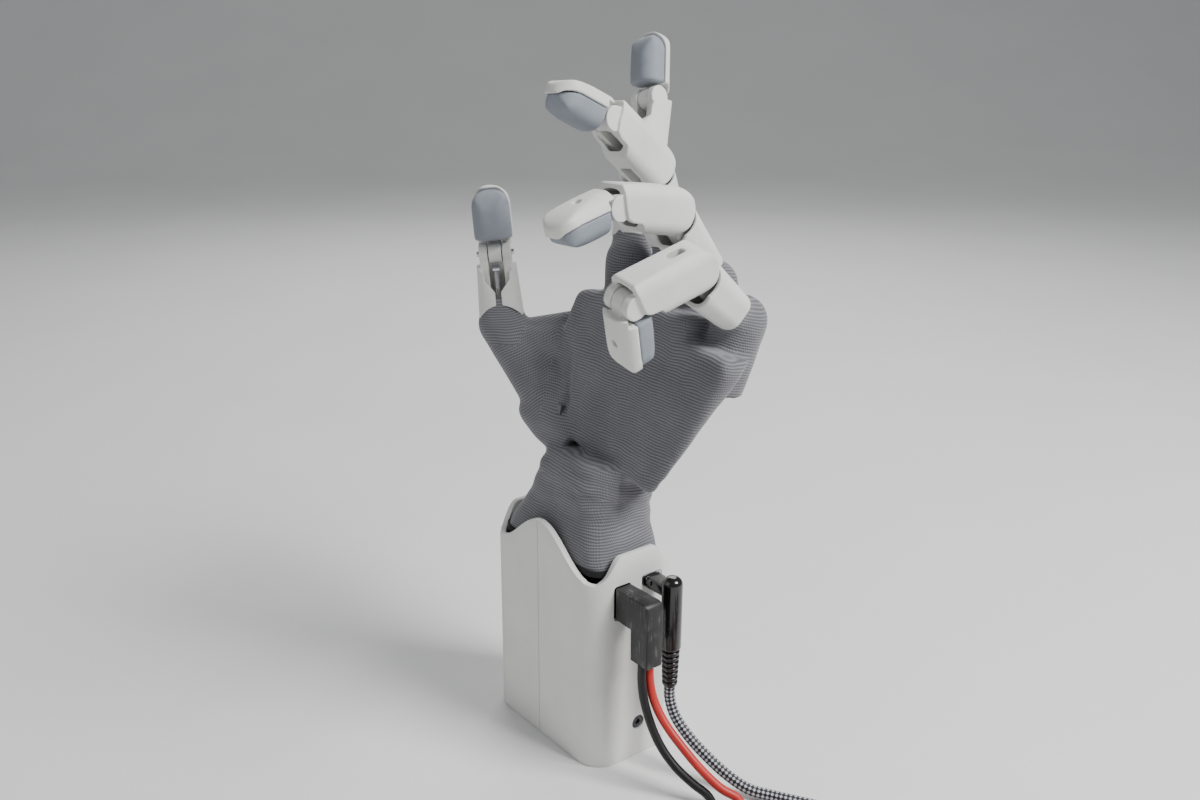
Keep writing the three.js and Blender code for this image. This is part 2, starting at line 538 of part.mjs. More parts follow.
add(housing, 'power_lead_black', cord(BLACK_ROUTE, WIRE_D, 8, 18), BLACK_PLASTIC);
add(housing, 'power_lead_red', cord(RED_ROUTE, WIRE_D, 8, 18), RED_SILICONE);
add(housing, 'usb_cable', cord(USB_ROUTE, USB_CABLE_D, 8, 20), BRAID);

// The outer shape of a coil of two flat spirals, one on the other, each of that many turns
function coil(radius, turns, diameter) {
  const half = ((turns + 1) * diameter) / 2 + 0.1;
  const profile = [[radius - half, 0.2], [radius + half, 0.2], [radius + half, 2 * diameter + 0.4],
    [radius - half, 2 * diameter + 0.4], [radius - half, 0.2]];
  return lathe(profile, 26);
}
const wireReach = WIRE_COIL_R + WIRE_D;
const usbReach = USB_COIL_R + 1.5 * USB_CABLE_D;
add(floor, 'power_coil_black', coil(WIRE_COIL_R, 2, WIRE_D).translate(97, 52 - wireReach, 0), BLACK_PLASTIC);
add(floor, 'power_coil_red', coil(WIRE_COIL_R, 2, WIRE_D).translate(97, 61 + wireReach, 0), RED_SILICONE);
add(floor, 'usb_coil', coil(USB_COIL_R, 3, USB_CABLE_D).translate(108, 110.5 + usbReach, 0), BRAID);

// The power lead's far connector, with a shrink sleeve on each wire
function powerEnd() {
  const body = box(118, 140, 48.5, 64.5, 0.4, 8.4);
  const sleeves = [52.7, 60.3].map((t) => rodX(2.3, 110.5, 119, 12).translate(0, t, 3.6));
  const mouths = [52.5, 60.5].map((t) => rodX(2.4, 128, 141, 12).translate(0, t, 4.4));
  return cut(join(body, ...sleeves), ...mouths);
}
add(floor, 'power_end_connector', powerEnd(), BLACK_PLASTIC);

// A flat computer plug: boot, grip and steel shell
function usbEnd() {
  const boot = rodX(2.9, 127.2, 138, 16);
  const grip = extrudeX(roundedRect(15, 7.6, 2.6), 136.5, 162, 4);
  const shell = cut(box(161.5, 174, -6, 6, -2.25, 2.25), box(164, 175, -5.5, 5.5, -1.8, 0.6));
  return join(boot, grip, shell).translate(0, 110.5, 4.2);
}
add(floor, 'usb_end_plug', usbEnd(), BLACK_PLASTIC);

export default hand;
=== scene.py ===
import json
import math

import bpy
from mathutils import Matrix, Vector, noise

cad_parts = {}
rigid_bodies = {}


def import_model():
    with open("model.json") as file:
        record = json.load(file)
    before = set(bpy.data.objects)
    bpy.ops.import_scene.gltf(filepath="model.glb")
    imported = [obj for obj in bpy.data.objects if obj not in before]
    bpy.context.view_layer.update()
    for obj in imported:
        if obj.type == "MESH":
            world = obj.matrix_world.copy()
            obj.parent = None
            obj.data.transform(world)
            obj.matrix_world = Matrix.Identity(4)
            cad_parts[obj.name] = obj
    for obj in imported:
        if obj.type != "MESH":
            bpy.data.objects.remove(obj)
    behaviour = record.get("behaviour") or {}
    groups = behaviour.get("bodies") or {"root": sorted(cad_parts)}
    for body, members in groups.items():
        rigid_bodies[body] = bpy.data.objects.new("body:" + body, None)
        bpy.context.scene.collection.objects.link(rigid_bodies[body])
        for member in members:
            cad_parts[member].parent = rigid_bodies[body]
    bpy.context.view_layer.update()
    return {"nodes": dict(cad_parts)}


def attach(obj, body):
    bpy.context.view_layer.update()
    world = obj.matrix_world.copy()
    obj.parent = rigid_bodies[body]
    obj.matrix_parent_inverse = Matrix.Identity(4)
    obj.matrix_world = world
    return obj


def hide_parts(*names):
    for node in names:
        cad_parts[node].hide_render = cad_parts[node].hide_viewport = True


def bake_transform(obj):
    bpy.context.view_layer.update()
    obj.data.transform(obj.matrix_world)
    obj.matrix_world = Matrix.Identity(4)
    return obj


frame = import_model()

bl_info = {
    "name": "Prosthetic hand",
    "version": (1, 0, 0),
    "blender": (4, 5, 0),
    "location": "View3D > Sidebar > Hand",
    "description": "Builds the shells, knit sleeve, plugs and leads of a prosthetic hand on its CAD frame",
    "category": "Object",
}

MM = 0.001

# Places shared with the CAD part, in millimetres and degrees
WRIST = (3.5, 3.5, 111)
PALM_TWIST = 3
DEVIATION = 3
WRIST_FLEXION = -12
FINGERS = {
    "index": ((-19, 13.5, 89), -16, (-10, 1.5, 7)),
    "middle": ((3.5, 16.5, 94), -7.5, (32, 30.5, 15)),
    "ring": ((26.5, 15.5, 89), -3, (53, 41, 22)),
    "pinky": ((48, 10.5, 80), 10, (66, 53, 92)),
}
THUMB_ROOT = (-32, -7.5, 23)
THUMB_KNUCKLE = (-55, -17, 52)
THUMB_TURN = (48.5, -16, 1.5)
FLOOR_TURN = -37.4
SEAM_X = -1.5
POWER_Y = -7.7
USB_X, USB_Y, USB_Z = 48.6, 7.3, 79.4
SCREW_Y, SCREW_Z = 1.4, 15.3

# Where the knit is trimmed, in millimetres up each bone's own frame, and in world height for the cuff
FINGER_HEM = 13
THUMB_HEM = 11.5
CUFF_HEM = 84.6

# The cloth outside this plane, just past the palm's edge and along the thumb's axis, is parted off as the thumb's
# root
THUMB_FOLD = (-21.53, -17.89, 40)
THUMB_FOLD_WAY = (-0.769, -0.639, 0)

# Lamps: place, width and power in watts
LAMPS = {
    "key": ((0.75, 0.35, 0.95), 0.45, 20),
    "fill": ((-0.2, -1.1, 0.7), 0.9, 2.6),
    "back": ((-0.8, 0.6, 0.9), 0.8, 7),
}
CAMERA_PLACE = (0.34615, -0.26638, 0.29036)
CAMERA_RIGHT = (0.6074, 0.7944, 0)
CAMERA_BACK = (0.7544, -0.5763, 0.3141)
FLOOR_FAR, FLOOR_NEAR, FLOOR_SIDE, FLOOR_DROP = 3.2, -3.5, 9, -0.0002


def frame_at(parent, at, z=0, y=0, x=0):
    """A child frame: moved by at, then turned about z, y and x."""
    turn = (Matrix.Rotation(math.radians(z), 4, "Z") @ Matrix.Rotation(math.radians(y), 4, "Y")
            @ Matrix.Rotation(math.radians(x), 4, "X"))
    return parent @ Matrix.Translation(Vector(at) * MM) @ turn


CROSS = frame_at(frame_at(Matrix(), WRIST, PALM_TWIST), (0, 0, 0), 0, DEVIATION)
PALM = frame_at(CROSS, (0, 0, 0), 0, 0, WRIST_FLEXION)
FLOOR = frame_at(Matrix(), (0, 0, 0), FLOOR_TURN)
THUMB_BASE = frame_at(PALM, THUMB_ROOT)
THUMB_REACH = Vector(THUMB_KNUCKLE) - Vector(THUMB_ROOT)
THUMB = frame_at(THUMB_BASE, THUMB_REACH, *THUMB_TURN)


def finger_frames(name, sizes):
    """The unbent knuckle frame and the three bone frames of a finger."""
    base, splay, bend = FINGERS[name]
    straight = frame_at(PALM, base, 0, splay)
    proximal = frame_at(straight, (0, 0, 0), 0, 0, bend[0])
    middle = frame_at(proximal, (0, 0, sizes.proximal_length / MM), 0, 0, bend[1])
    tip = frame_at(middle, (0, 0, sizes.middle_length / MM), 0, 0, bend[2])
    return straight, proximal, middle, tip


# ------------------------------------------------------------------ sizes and colours
def length(name, description, default):
    return bpy.props.FloatProperty(name=name, description=description, default=default, unit="LENGTH", precision=4)


def colour(name, description, default):
    return bpy.props.StringProperty(name=name, description=description, default=default)


class HandSizes(bpy.types.PropertyGroup):
    housing_width: length("Housing width", "Wrist housing, thumb side to little-finger side", 0.073)
    housing_depth: length("Housing depth", "Wrist housing, palm side to back", 0.043)
    housing_corner: length("Housing corner", "Radius of the housing's upright corners", 0.011)
    housing_wall: length("Housing wall", "Thickness of the moulded wall", 0.0026)
    finger_width: length("Finger width", "Width of a finger shell", 0.0156)
    finger_depth: length("Finger depth", "Depth of a finger shell", 0.015)
    proximal_length: length("Proximal length", "First knuckle to middle knuckle", 0.042)
    middle_length: length("Middle length", "Middle knuckle to tip joint", 0.027)
    tip_length: length("Tip length", "Tip joint to fingertip", 0.028)
    thumb_width: length("Thumb width", "Width of the thumb shells", 0.0164)
    wire: length("Wire", "Diameter of each silicone power wire", 0.0035)
    cable: length("Cable", "Diameter of the braided cable", 0.0045)
    rib: length("Knit rib", "Spacing of the knit's ribs", 0.0011)


class HandFinishes(bpy.types.PropertyGroup):
    shell: colour("Shell", "Sintered nylon of the fingers", "#DDDDDA")
    housing: colour("Housing", "Moulded housing", "#E2E2DF")
    pad: colour("Pad", "Silicone fingertip pads", "#8C929A")
    knit: colour("Knit", "Knit sleeve", "#85858A")
    plug: colour("Plug", "Worn black moulding", "#1B1B1C")
    red_wire: colour("Red wire", "Red silicone insulation", "#C8322B")
    black_wire: colour("Black wire", "Black silicone insulation", "#161617")


# ------------------------------------------------------------------ small tools
def deselect():
    if bpy.context.object and bpy.context.object.mode != "OBJECT":
        bpy.ops.object.mode_set(mode="OBJECT")
    bpy.ops.object.select_all(action="DESELECT")


def pick(obj):
    deselect()
    obj.select_set(True)
    bpy.context.view_layer.objects.active = obj


def fix_place(obj):
    """Puts the object's place and turn into its mesh."""
    pick(obj)
    bpy.ops.object.transform_apply(location=True, rotation=True, scale=True)
    return obj


def named(name):
    obj = bpy.context.object
    obj.name = name
    return fix_place(obj)


def block(name, x, y, z):
    """A box between three pairs of millimetre limits."""
    lows, highs = zip(x, y, z)
    deselect()
    centre = (Vector(lows) + Vector(highs)) / 2 * MM
    bpy.ops.mesh.primitive_cube_add(size=1, location=centre, scale=(Vector(highs) - Vector(lows)) * MM)
    return named(name)


TURN = {"X": (0, math.pi / 2, 0), "Y": (math.pi / 2, 0, 0), "Z": (0, 0, 0)}


def rod(name, axis, radius, start, end, at=(0, 0, 0), sides=40):
    """A round bar along an axis through at."""
    centre = Vector(at)
    centre["XYZ".index(axis)] += (start + end) / 2
    deselect()
    bpy.ops.mesh.primitive_cylinder_add(vertices=sides, radius=radius * MM, depth=(end - start) * MM,
                                        location=centre * MM, rotation=TURN[axis])
    return named(name)


def taper(name, a, b, radius_a, radius_b, sides=32):
    """A tapered bar between two points."""
    a, b = Vector(a), Vector(b)
    deselect()
    turn = (b - a).to_track_quat("Z", "Y").to_euler()
    bpy.ops.mesh.primitive_cone_add(vertices=sides, radius1=radius_a * MM, radius2=radius_b * MM,
                                    depth=(b - a).length * MM, location=(a + b) / 2 * MM, rotation=turn)
    return named(name)


def ball(name, at, radius, squash=(1, 1, 1)):
    deselect()
    bpy.ops.mesh.primitive_uv_sphere_add(segments=32, ring_count=20, radius=radius * MM, location=Vector(at) * MM,
                                         scale=squash)
    return named(name)


def outline(name, points, axis, start, end):
    """A closed outline of two-number points, pushed along an axis from start to end."""
    deselect()
    bpy.ops.mesh.primitive_circle_add(vertices=len(points), fill_type="NGON")
    obj = named(name)
    spots = {"X": lambda u, v: (start, u, v), "Y": lambda u, v: (u, start, v), "Z": lambda u, v: (u, v, start)}
    for vertex, (u, v) in zip(obj.data.vertices, points):
        vertex.co = Vector(spots[axis](u, v)) * MM
    push = Vector((0, 0, 0))
    push["XYZ".index(axis)] = (end - start) * MM
    bpy.ops.object.mode_set(mode="EDIT")
    bpy.ops.mesh.select_all(action="SELECT")
    bpy.ops.mesh.extrude_region_move(TRANSFORM_OT_translate={"value": push})
    bpy.ops.mesh.select_all(action="SELECT")
    bpy.ops.mesh.normals_make_consistent(inside=False)
    bpy.ops.object.mode_set(mode="OBJECT")
    return obj


def select_edges(obj, keep):
    """Selects the edges whose middle, in millimetres, and direction pass keep."""
    pick(obj)
    mesh = obj.data
    for part in (mesh.vertices, mesh.edges, mesh.polygons):
        part.foreach_set("select", [False] * len(part))
    for edge in mesh.edges:
        a, b = (mesh.vertices[i].co for i in edge.vertices)
        edge.select = bool(keep((a + b) / 2 / MM, (b - a).normalized()))
    bpy.ops.object.mode_set(mode="EDIT")
    bpy.ops.mesh.select_mode(type="EDGE")


def bevel(obj, keep, width, segments=4, profile=0.5):
    select_edges(obj, keep)
    bpy.ops.mesh.bevel(offset=width * MM, segments=segments, profile=profile, affect="EDGES")
    bpy.ops.object.mode_set(mode="OBJECT")
    return obj


def apply_modifier(obj, kind, **settings):
    pick(obj)
    modifier = obj.modifiers.new(kind.lower(), kind)
    for key, value in settings.items():
        setattr(modifier, key, value)
    bpy.ops.object.modifier_apply(modifier=modifier.name)
    return obj


def carve(obj, tool, how="DIFFERENCE"):
    apply_modifier(obj, "BOOLEAN", object=tool, operation=how, solver="EXACT")
    bpy.data.objects.remove(tool)
    return obj


def merge(name, pieces):
    deselect()
    for piece in pieces:
        piece.select_set(True)
    bpy.context.view_layer.objects.active = pieces[0]
    bpy.ops.object.join()
    pieces[0].name = name
    return pieces[0]


def soften(obj, voxel, rounds, keep=1.0):
    """Remeshes a carved form, so every edge comes out rounded like a sintered or moulded one."""
    apply_modifier(obj, "REMESH", mode="VOXEL", voxel_size=voxel * MM)
    apply_modifier(obj, "SMOOTH", iterations=rounds, factor=0.5)
    if keep < 1:
        apply_modifier(obj, "DECIMATE", ratio=keep)
    pick(obj)
    bpy.ops.object.shade_smooth()
    return obj


def smooth_by_angle(obj, angle=35):
    pick(obj)
    bpy.ops.object.shade_smooth_by_angle(angle=math.radians(angle))
    return obj


def put(source, name, matrix):
    """A copy of a modelled form with its own mesh, in its place."""
    copy = source.copy()
    copy.data = source.data.copy()
    copy.name = name
    bpy.context.scene.collection.objects.link(copy)
    copy.data.transform(matrix)
    return copy


def drop(*objects):
    for obj in objects:
        bpy.data.objects.remove(obj)


def finish_piece(obj, material, body=None, replaces=()):
    obj.data.materials.clear()
    obj.data.materials.append(material)
    if body:
        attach(obj, body)
    if replaces:
        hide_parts(*replaces)
    return obj


# ------------------------------------------------------------------ materials
def linear(code):
    """An sRGB hex value as a linear colour."""
    channels = [int(code[i:i + 2], 16) / 255 for i in (1, 3, 5)]
    return (*[c / 12.92 if c <= 0.04045 else ((c + 0.055) / 1.055) ** 2.4 for c in channels], 1)


def node(tree, kind, links=None, **settings):
    """Adds a node, sets its properties, and links or sets its inputs."""
    made = tree.nodes.new("ShaderNode" + kind)
    for key, value in settings.items():
        setattr(made, key, value)
    for key, value in (links or {}).items():
        if isinstance(value, bpy.types.NodeSocket):
            tree.links.new(value, made.inputs[key])
        else:
            made.inputs[key].default_value = value
    return made


def new_material(name):
    material = bpy.data.materials.get(name)
    if material:
        return material, None, None
    material = bpy.data.materials.new(name)
    material.use_nodes = True
    tree = material.node_tree
    return material, tree, tree.nodes["Principled BSDF"]


def ramp(tree, factor, stops):
    made = node(tree, "ValToRGB", {"Fac": factor})
    elements = made.color_ramp.elements
    while len(elements) < len(stops):
        elements.new(0.5)
    for element, (position, code) in zip(elements, stops):
        element.position = position
        element.color = linear(code)
    return made.outputs["Color"]


def speckled(name, dark, light, roughness, grain_mm, depth, blotch_mm=12, coat=0.0):
    """A moulded or sintered surface: a fine grain with slow, faint changes of tone and gloss."""
    material, tree, shader = new_material(name)
    if tree is None:
        return material
    place = node(tree, "TexCoord").outputs["Object"]
    blotch = node(tree, "TexNoise", {"Vector": place, "Scale": 1000 / blotch_mm, "Detail": 3.0})
    grain = node(tree, "TexNoise", {"Vector": place, "Scale": 1000 / grain_mm, "Detail": 2.0, "Roughness": 0.6})
    tone = node(tree, "Mix", {0: 0.35, 2: blotch.outputs["Fac"], 3: grain.outputs["Fac"]}, data_type="FLOAT")
    tree.links.new(ramp(tree, tone.outputs[0], ((0.3, dark), (0.7, light))), shader.inputs["Base Color"])
    gloss = node(tree, "MapRange", {"Value": blotch.outputs["Fac"], "From Min": 0.3, "From Max": 0.7,
                                    "To Min": roughness - 0.06, "To Max": roughness + 0.08})
    tree.links.new(gloss.outputs["Result"], shader.inputs["Roughness"])
    relief = node(tree, "Bump", {"Height": grain.outputs["Fac"], "Strength": 0.55, "Distance": depth * MM})
    tree.links.new(relief.outputs["Normal"], shader.inputs["Normal"])
    shader.inputs["IOR"].default_value = 1.5
    shader.inputs["Coat Weight"].default_value = coat
    return material


def sintered_nylon(finishes):
    # Laser-sintered nylon, tumbled: a matt warm white with a sugary grain of about 0.3 mm
    return speckled("sintered_nylon", "#CFCFCC", finishes.shell, 0.62, 0.35, 0.05)


def housing_nylon(finishes):
    # The housing is the same nylon, sealed with a primer: smoother, a touch brighter
    return speckled("primed_nylon", "#D5D5D2", finishes.housing, 0.55, 0.5, 0.03, blotch_mm=25)


def pad_silicone(finishes):
    # Cast silicone, Shore 40: soft blue-grey, even, with a faint dusty bloom
    material = speckled("cast_silicone", "#7F858D", finishes.pad, 0.66, 0.4, 0.03, blotch_mm=6)
    material.node_tree.nodes["Principled BSDF"].inputs["IOR"].default_value = 1.41
    return material


def rubber():
    # Foam-filled EPDM seal: dead black
    return speckled("epdm_seal", "#0C0C0D", "#161617", 0.85, 0.5, 0.05)


def gloss_moulding():
    # Polished PVC overmould: glossy black that shows the lights
    return speckled("polished_pvc", "#0C0C0D", "#121213", 0.2, 0.6, 0.01, coat=0.4)


def worn_moulding(finishes):
    # Handled PVC plug: matt black with pale scuffs drawn along it
    material, tree, shader = new_material("worn_pvc")
    if tree is None:
        return material
    place = node(tree, "TexCoord").outputs["Object"]
    drawn = node(tree, "Mapping", {"Vector": place, "Scale": (1, 1, 0.09)})
    scuff = node(tree, "TexNoise", {"Vector": drawn.outputs["Vector"], "Scale": 1600.0, "Detail": 4.0})
    patch = node(tree, "TexNoise", {"Vector": place, "Scale": 160.0, "Detail": 2.0})
    worn = node(tree, "Math", {0: scuff.outputs["Fac"], 1: patch.outputs["Fac"]}, operation="MULTIPLY")
    tree.links.new(ramp(tree, worn.outputs["Value"], ((0.22, finishes.plug), (0.3, "#262627"), (0.44, "#5A5A5A"))),
                   shader.inputs["Base Color"])
    shader.inputs["Roughness"].default_value = 0.5
    relief = node(tree, "Bump", {"Height": scuff.outputs["Fac"], "Strength": 0.3, "Distance": 0.05 * MM})
    tree.links.new(relief.outputs["Normal"], shader.inputs["Normal"])
    return material


def knit_cloth(finishes, sizes):
    # Circular-knit nylon sleeve: fine ribs that run round it, each a row of small loops
    material, tree, shader = new_material("rib_knit")
    if tree is None:
        return material
    weave = node(tree, "UVMap", uv_map="weave").outputs["UV"]
    place = node(tree, "TexCoord").outputs["Object"]
    sway = node(tree, "TexNoise", {"Vector": place, "Scale": 70.0, "Detail": 1.5})
    parts = node(tree, "SeparateXYZ", {"Vector": weave})
    shift = node(tree, "Math", {0: sway.outputs["Fac"], 1: 0.0035}, operation="MULTIPLY")
    along = node(tree, "Math", {0: parts.outputs["Y"], 1: shift.outputs["Value"]}, operation="ADD")
    rows = node(tree, "Math", {0: along.outputs["Value"], 1: 2 * math.pi / sizes.rib}, operation="MULTIPLY")
    ribs = node(tree, "Math", {0: rows.outputs["Value"]}, operation="SINE")
    half_rows = node(tree, "Math", {0: rows.outputs["Value"], 1: 0.5}, operation="MULTIPLY")
    # Loops about 0.8 mm wide, each row half a loop on from the last
    wales = node(tree, "Math", {0: parts.outputs["X"], 1: 2 * math.pi / 0.0008}, operation="MULTIPLY")
    stepped = node(tree, "Math", {0: wales.outputs["Value"], 1: half_rows.outputs["Value"]}, operation="ADD")
    loops = node(tree, "Math", {0: stepped.outputs["Value"]}, operation="SINE")
    faint = node(tree, "Math", {0: loops.outputs["Value"], 1: 0.35}, operation="MULTIPLY")
    height = node(tree, "Math", {0: ribs.outputs["Value"], 1: faint.outputs["Value"]}, operation="ADD")
    level = node(tree, "MapRange", {"Value": height.outputs["Value"], "From Min": -1.35, "From Max": 1.35})
    blotch = node(tree, "TexNoise", {"Vector": place, "Scale": 45.0, "Detail": 3.0})
    # The rib height is painted into the colour: painted shade in the valleys between the ribs and painted highlight
    # on their crests; the slow blotch mixed in is a real change of tone
    tone = node(tree, "Mix", {0: 0.4, 2: level.outputs["Result"], 3: blotch.outputs["Fac"]}, data_type="FLOAT")
    tree.links.new(ramp(tree, tone.outputs[0], ((0.2, "#4B4B4F"), (0.5, "#6C6C70"), (0.85, finishes.knit))),
                   shader.inputs["Base Color"])
    shader.inputs["Roughness"].default_value = 0.92
    shader.inputs["Sheen Weight"].default_value = 0.25
    shader.inputs["Sheen Roughness"].default_value = 0.5
    relief = node(tree, "Bump", {"Height": level.outputs["Result"], "Strength": 0.6, "Distance": 0.3 * MM})
    tree.links.new(relief.outputs["Normal"], shader.inputs["Normal"])
    return material


def braided_sleeve():
    # Braided polyester over the cable: pale and black strands crossing on the slant
    material, tree, shader = new_material("braided_polyester")
    if tree is None:
        return material
    weave = node(tree, "UVMap", uv_map="weave").outputs["UV"]
    parts = node(tree, "SeparateXYZ", {"Vector": weave})
    # Four pairs of strands round it, and a crossing every 1.8 mm along it
    turn = node(tree, "Math", {0: parts.outputs["X"], 1: 4 * 2 * math.pi}, operation="MULTIPLY")
    run = node(tree, "Math", {0: parts.outputs["Y"], 1: 2 * math.pi / 0.0036}, operation="MULTIPLY")
    left = node(tree, "Math", {0: turn.outputs["Value"], 1: run.outputs["Value"]}, operation="ADD")
    right = node(tree, "Math", {0: turn.outputs["Value"], 1: run.outputs["Value"]}, operation="SUBTRACT")
    one = node(tree, "Math", {0: left.outputs["Value"]}, operation="SINE")
    other = node(tree, "Math", {0: right.outputs["Value"]}, operation="SINE")
    cross = node(tree, "Math", {0: one.outputs["Value"], 1: other.outputs["Value"]}, operation="MULTIPLY")
    level = node(tree, "MapRange", {"Value": cross.outputs["Value"], "From Min": -1.0, "From Max": 1.0})
    thread = node(tree, "TexNoise", {"Vector": node(tree, "TexCoord").outputs["Object"], "Scale": 2500.0})
    tone = node(tree, "Mix", {0: 0.12, 2: level.outputs["Result"], 3: thread.outputs["Fac"]}, data_type="FLOAT")
    threads = ((0.3, "#17171A"), (0.5, "#232327"), (0.62, "#A8ACB4"), (0.9, "#C4C8CE"))
    tree.links.new(ramp(tree, tone.outputs[0], threads),
                   shader.inputs["Base Color"])
    shader.inputs["Roughness"].default_value = 0.6
    shader.inputs["Sheen Weight"].default_value = 0.15
    relief = node(tree, "Bump", {"Height": level.outputs["Result"], "Strength": 0.5, "Distance": 0.25 * MM})
    tree.links.new(relief.outputs["Normal"], shader.inputs["Normal"])
    return material


def silicone_wire(name, dark, light):
    # Extruded silicone insulation: soft satin, with a little dust
    return speckled(name, dark, light, 0.48, 0.7, 0.02, blotch_mm=9)


def metal(name, code, roughness, drawn=(1, 1, 1)):
    """Bare or anodised metal with fine tool marks."""
    material, tree, shader = new_material(name)
    if tree is None:
        return material
    place = node(tree, "TexCoord").outputs["Object"]
    lines = node(tree, "Mapping", {"Vector": place, "Scale": drawn})
    marks = node(tree, "TexNoise", {"Vector": lines.outputs["Vector"], "Scale": 2600.0, "Detail": 3.0})
    shader.inputs["Base Color"].default_value = linear(code)
    shader.inputs["Metallic"].default_value = 1.0
    gloss = node(tree, "MapRange", {"Value": marks.outputs["Fac"], "From Min": 0.3, "From Max": 0.7,
                                    "To Min": roughness - 0.06, "To Max": roughness + 0.1})
    tree.links.new(gloss.outputs["Result"], shader.inputs["Roughness"])
    relief = node(tree, "Bump", {"Height": marks.outputs["Fac"], "Strength": 0.2, "Distance": 0.02 * MM})
    tree.links.new(relief.outputs["Normal"], shader.inputs["Normal"])
    return material


def circuit_board():
    # Glass-epoxy board: green mask over copper tracks 0.6 mm wide
    material, tree, shader = new_material("solder_mask")
    if tree is None:
        return material
    place = node(tree, "TexCoord").outputs["Object"]
    flat = node(tree, "Mapping", {"Vector": place, "Rotation": (math.pi / 2, 0, 0)})
    tracks = node(tree, "TexBrick", {"Vector": flat.outputs["Vector"], "Scale": 260.0, "Mortar Size": 0.08,
                                     "Color1": linear("#173F29"), "Color2": linear("#1B4A30"),
                                     "Mortar": linear("#2C6B45")})
    tree.links.new(tracks.outputs["Color"], shader.inputs["Base Color"])
    shader.inputs["Roughness"].default_value = 0.35
    relief = node(tree, "Bump", {"Height": tracks.outputs["Fac"], "Strength": 0.2, "Distance": 0.04 * MM})
    tree.links.new(relief.outputs["Normal"], shader.inputs["Normal"])
    return material


def paper_floor():
    # Seamless paper: pale, matt
    return speckled("seamless_paper", "#E4E4E3", "#E9E9E8", 0.85, 1.5, 0.01, blotch_mm=160)


# ------------------------------------------------------------------ wrist housing
def smooth_top(x, y):
    """Height of the housing's top edge: an arch on the two wide faces and a step on the two narrow ones."""
    foot, peak, side = 82.0, 99.0, 93.0
    u = min(abs(x) / 33, 1)
    arch = foot + (peak - foot) * (0.5 + 0.5 * math.cos(math.pi * u)) ** 1.15
    v = min(max((abs(y) - 8) / 11, 0), 1)
    step = foot + (side - foot) * (1 - v * v * (3 - 2 * v)) if abs(x) > 20 else foot
    high, low = max(arch, step), min(arch, step)
    return high + 1.6 * math.exp(-(high - low) / 1.6) * (1 if high > foot + 0.5 else 0) * 0.4


def round_rectangle(width, depth, radius, count):
    """Points at even steps along a rectangle with round corners, from the middle of the +X side."""
    w, d = width / 2 - radius, depth / 2 - radius
    arc = math.pi / 2 * radius
    runs = ((2 * d, None), (arc, (w, d, 0)), (2 * w, None), (arc, (-w, d, 90)), (2 * d, None), (arc, (-w, -d, 180)),
            (2 * w, None), (arc, (w, -d, 270)))
    starts = {0: (w + radius, -d, 0, 1), 2: (w, d + radius, -1, 0), 4: (-w - radius, d, 0, -1),
              6: (-w, -d - radius, 1, 0)}
    total = sum(run for run, _ in runs)
    points = []
    for i in range(count):
        s = (total * i / count + d) % total
        for k, (run, corner) in enumerate(runs):
            if s <= run or k == 7:
                if corner:
                    angle = math.radians(corner[2] + 90 * s / arc)
                    points.append((corner[0] + radius * math.cos(angle), corner[1] + radius * math.sin(angle)))
                else:
                    x, y, dx, dy = starts[k]
                    points.append((x + dx * s, y + dy * s))
                break
            s -= run
    return points


def housing_wall(sizes):
    """The moulded wall: a ring raised in steps to the curved top edge, then given its thickness."""
    width, depth, corner = sizes.housing_width / MM, sizes.housing_depth / MM, sizes.housing_corner / MM
    outline_points = round_rectangle(width, depth, corner, 200)
    deselect()
    bpy.ops.mesh.primitive_circle_add(vertices=len(outline_points), fill_type="NOTHING")
    wall = named("housing_wall")
    for vertex, (x, y) in zip(wall.data.vertices, outline_points):
        vertex.co = Vector((x, y, 0)) * MM
    bpy.ops.object.mode_set(mode="EDIT")
    bpy.ops.mesh.select_all(action="SELECT")
    levels = 16
    for _ in range(levels):
        bpy.ops.mesh.extrude_region_move(TRANSFORM_OT_translate={"value": (0, 0, MM)})
    bpy.ops.mesh.select_all(action="SELECT")
    bpy.ops.mesh.normals_make_consistent(inside=False)
    bpy.ops.object.mode_set(mode="OBJECT")
    for vertex in wall.data.vertices:
        x, y, z = vertex.co / MM
        vertex.co.z = round(z) / levels * smooth_top(x, y) * MM
    apply_modifier(wall, "SOLIDIFY", thickness=sizes.housing_wall, offset=-1, use_even_offset=True)
    return wall


def housing_half(wall, name, keep):
    half = put(wall, name, Matrix())
    pick(half)
    bpy.ops.object.mode_set(mode="EDIT")
    bpy.ops.mesh.select_all(action="SELECT")
    bpy.ops.mesh.bisect(plane_co=((SEAM_X + 0.17 * keep) * MM, 0, 0), plane_no=(keep, 0, 0), use_fill=True,
                        clear_inner=True)
    bpy.ops.object.mode_set(mode="OBJECT")
    apply_modifier(half, "BEVEL", width=0.4 * MM, segments=3, limit_method="ANGLE", angle_limit=math.radians(50))
    return half


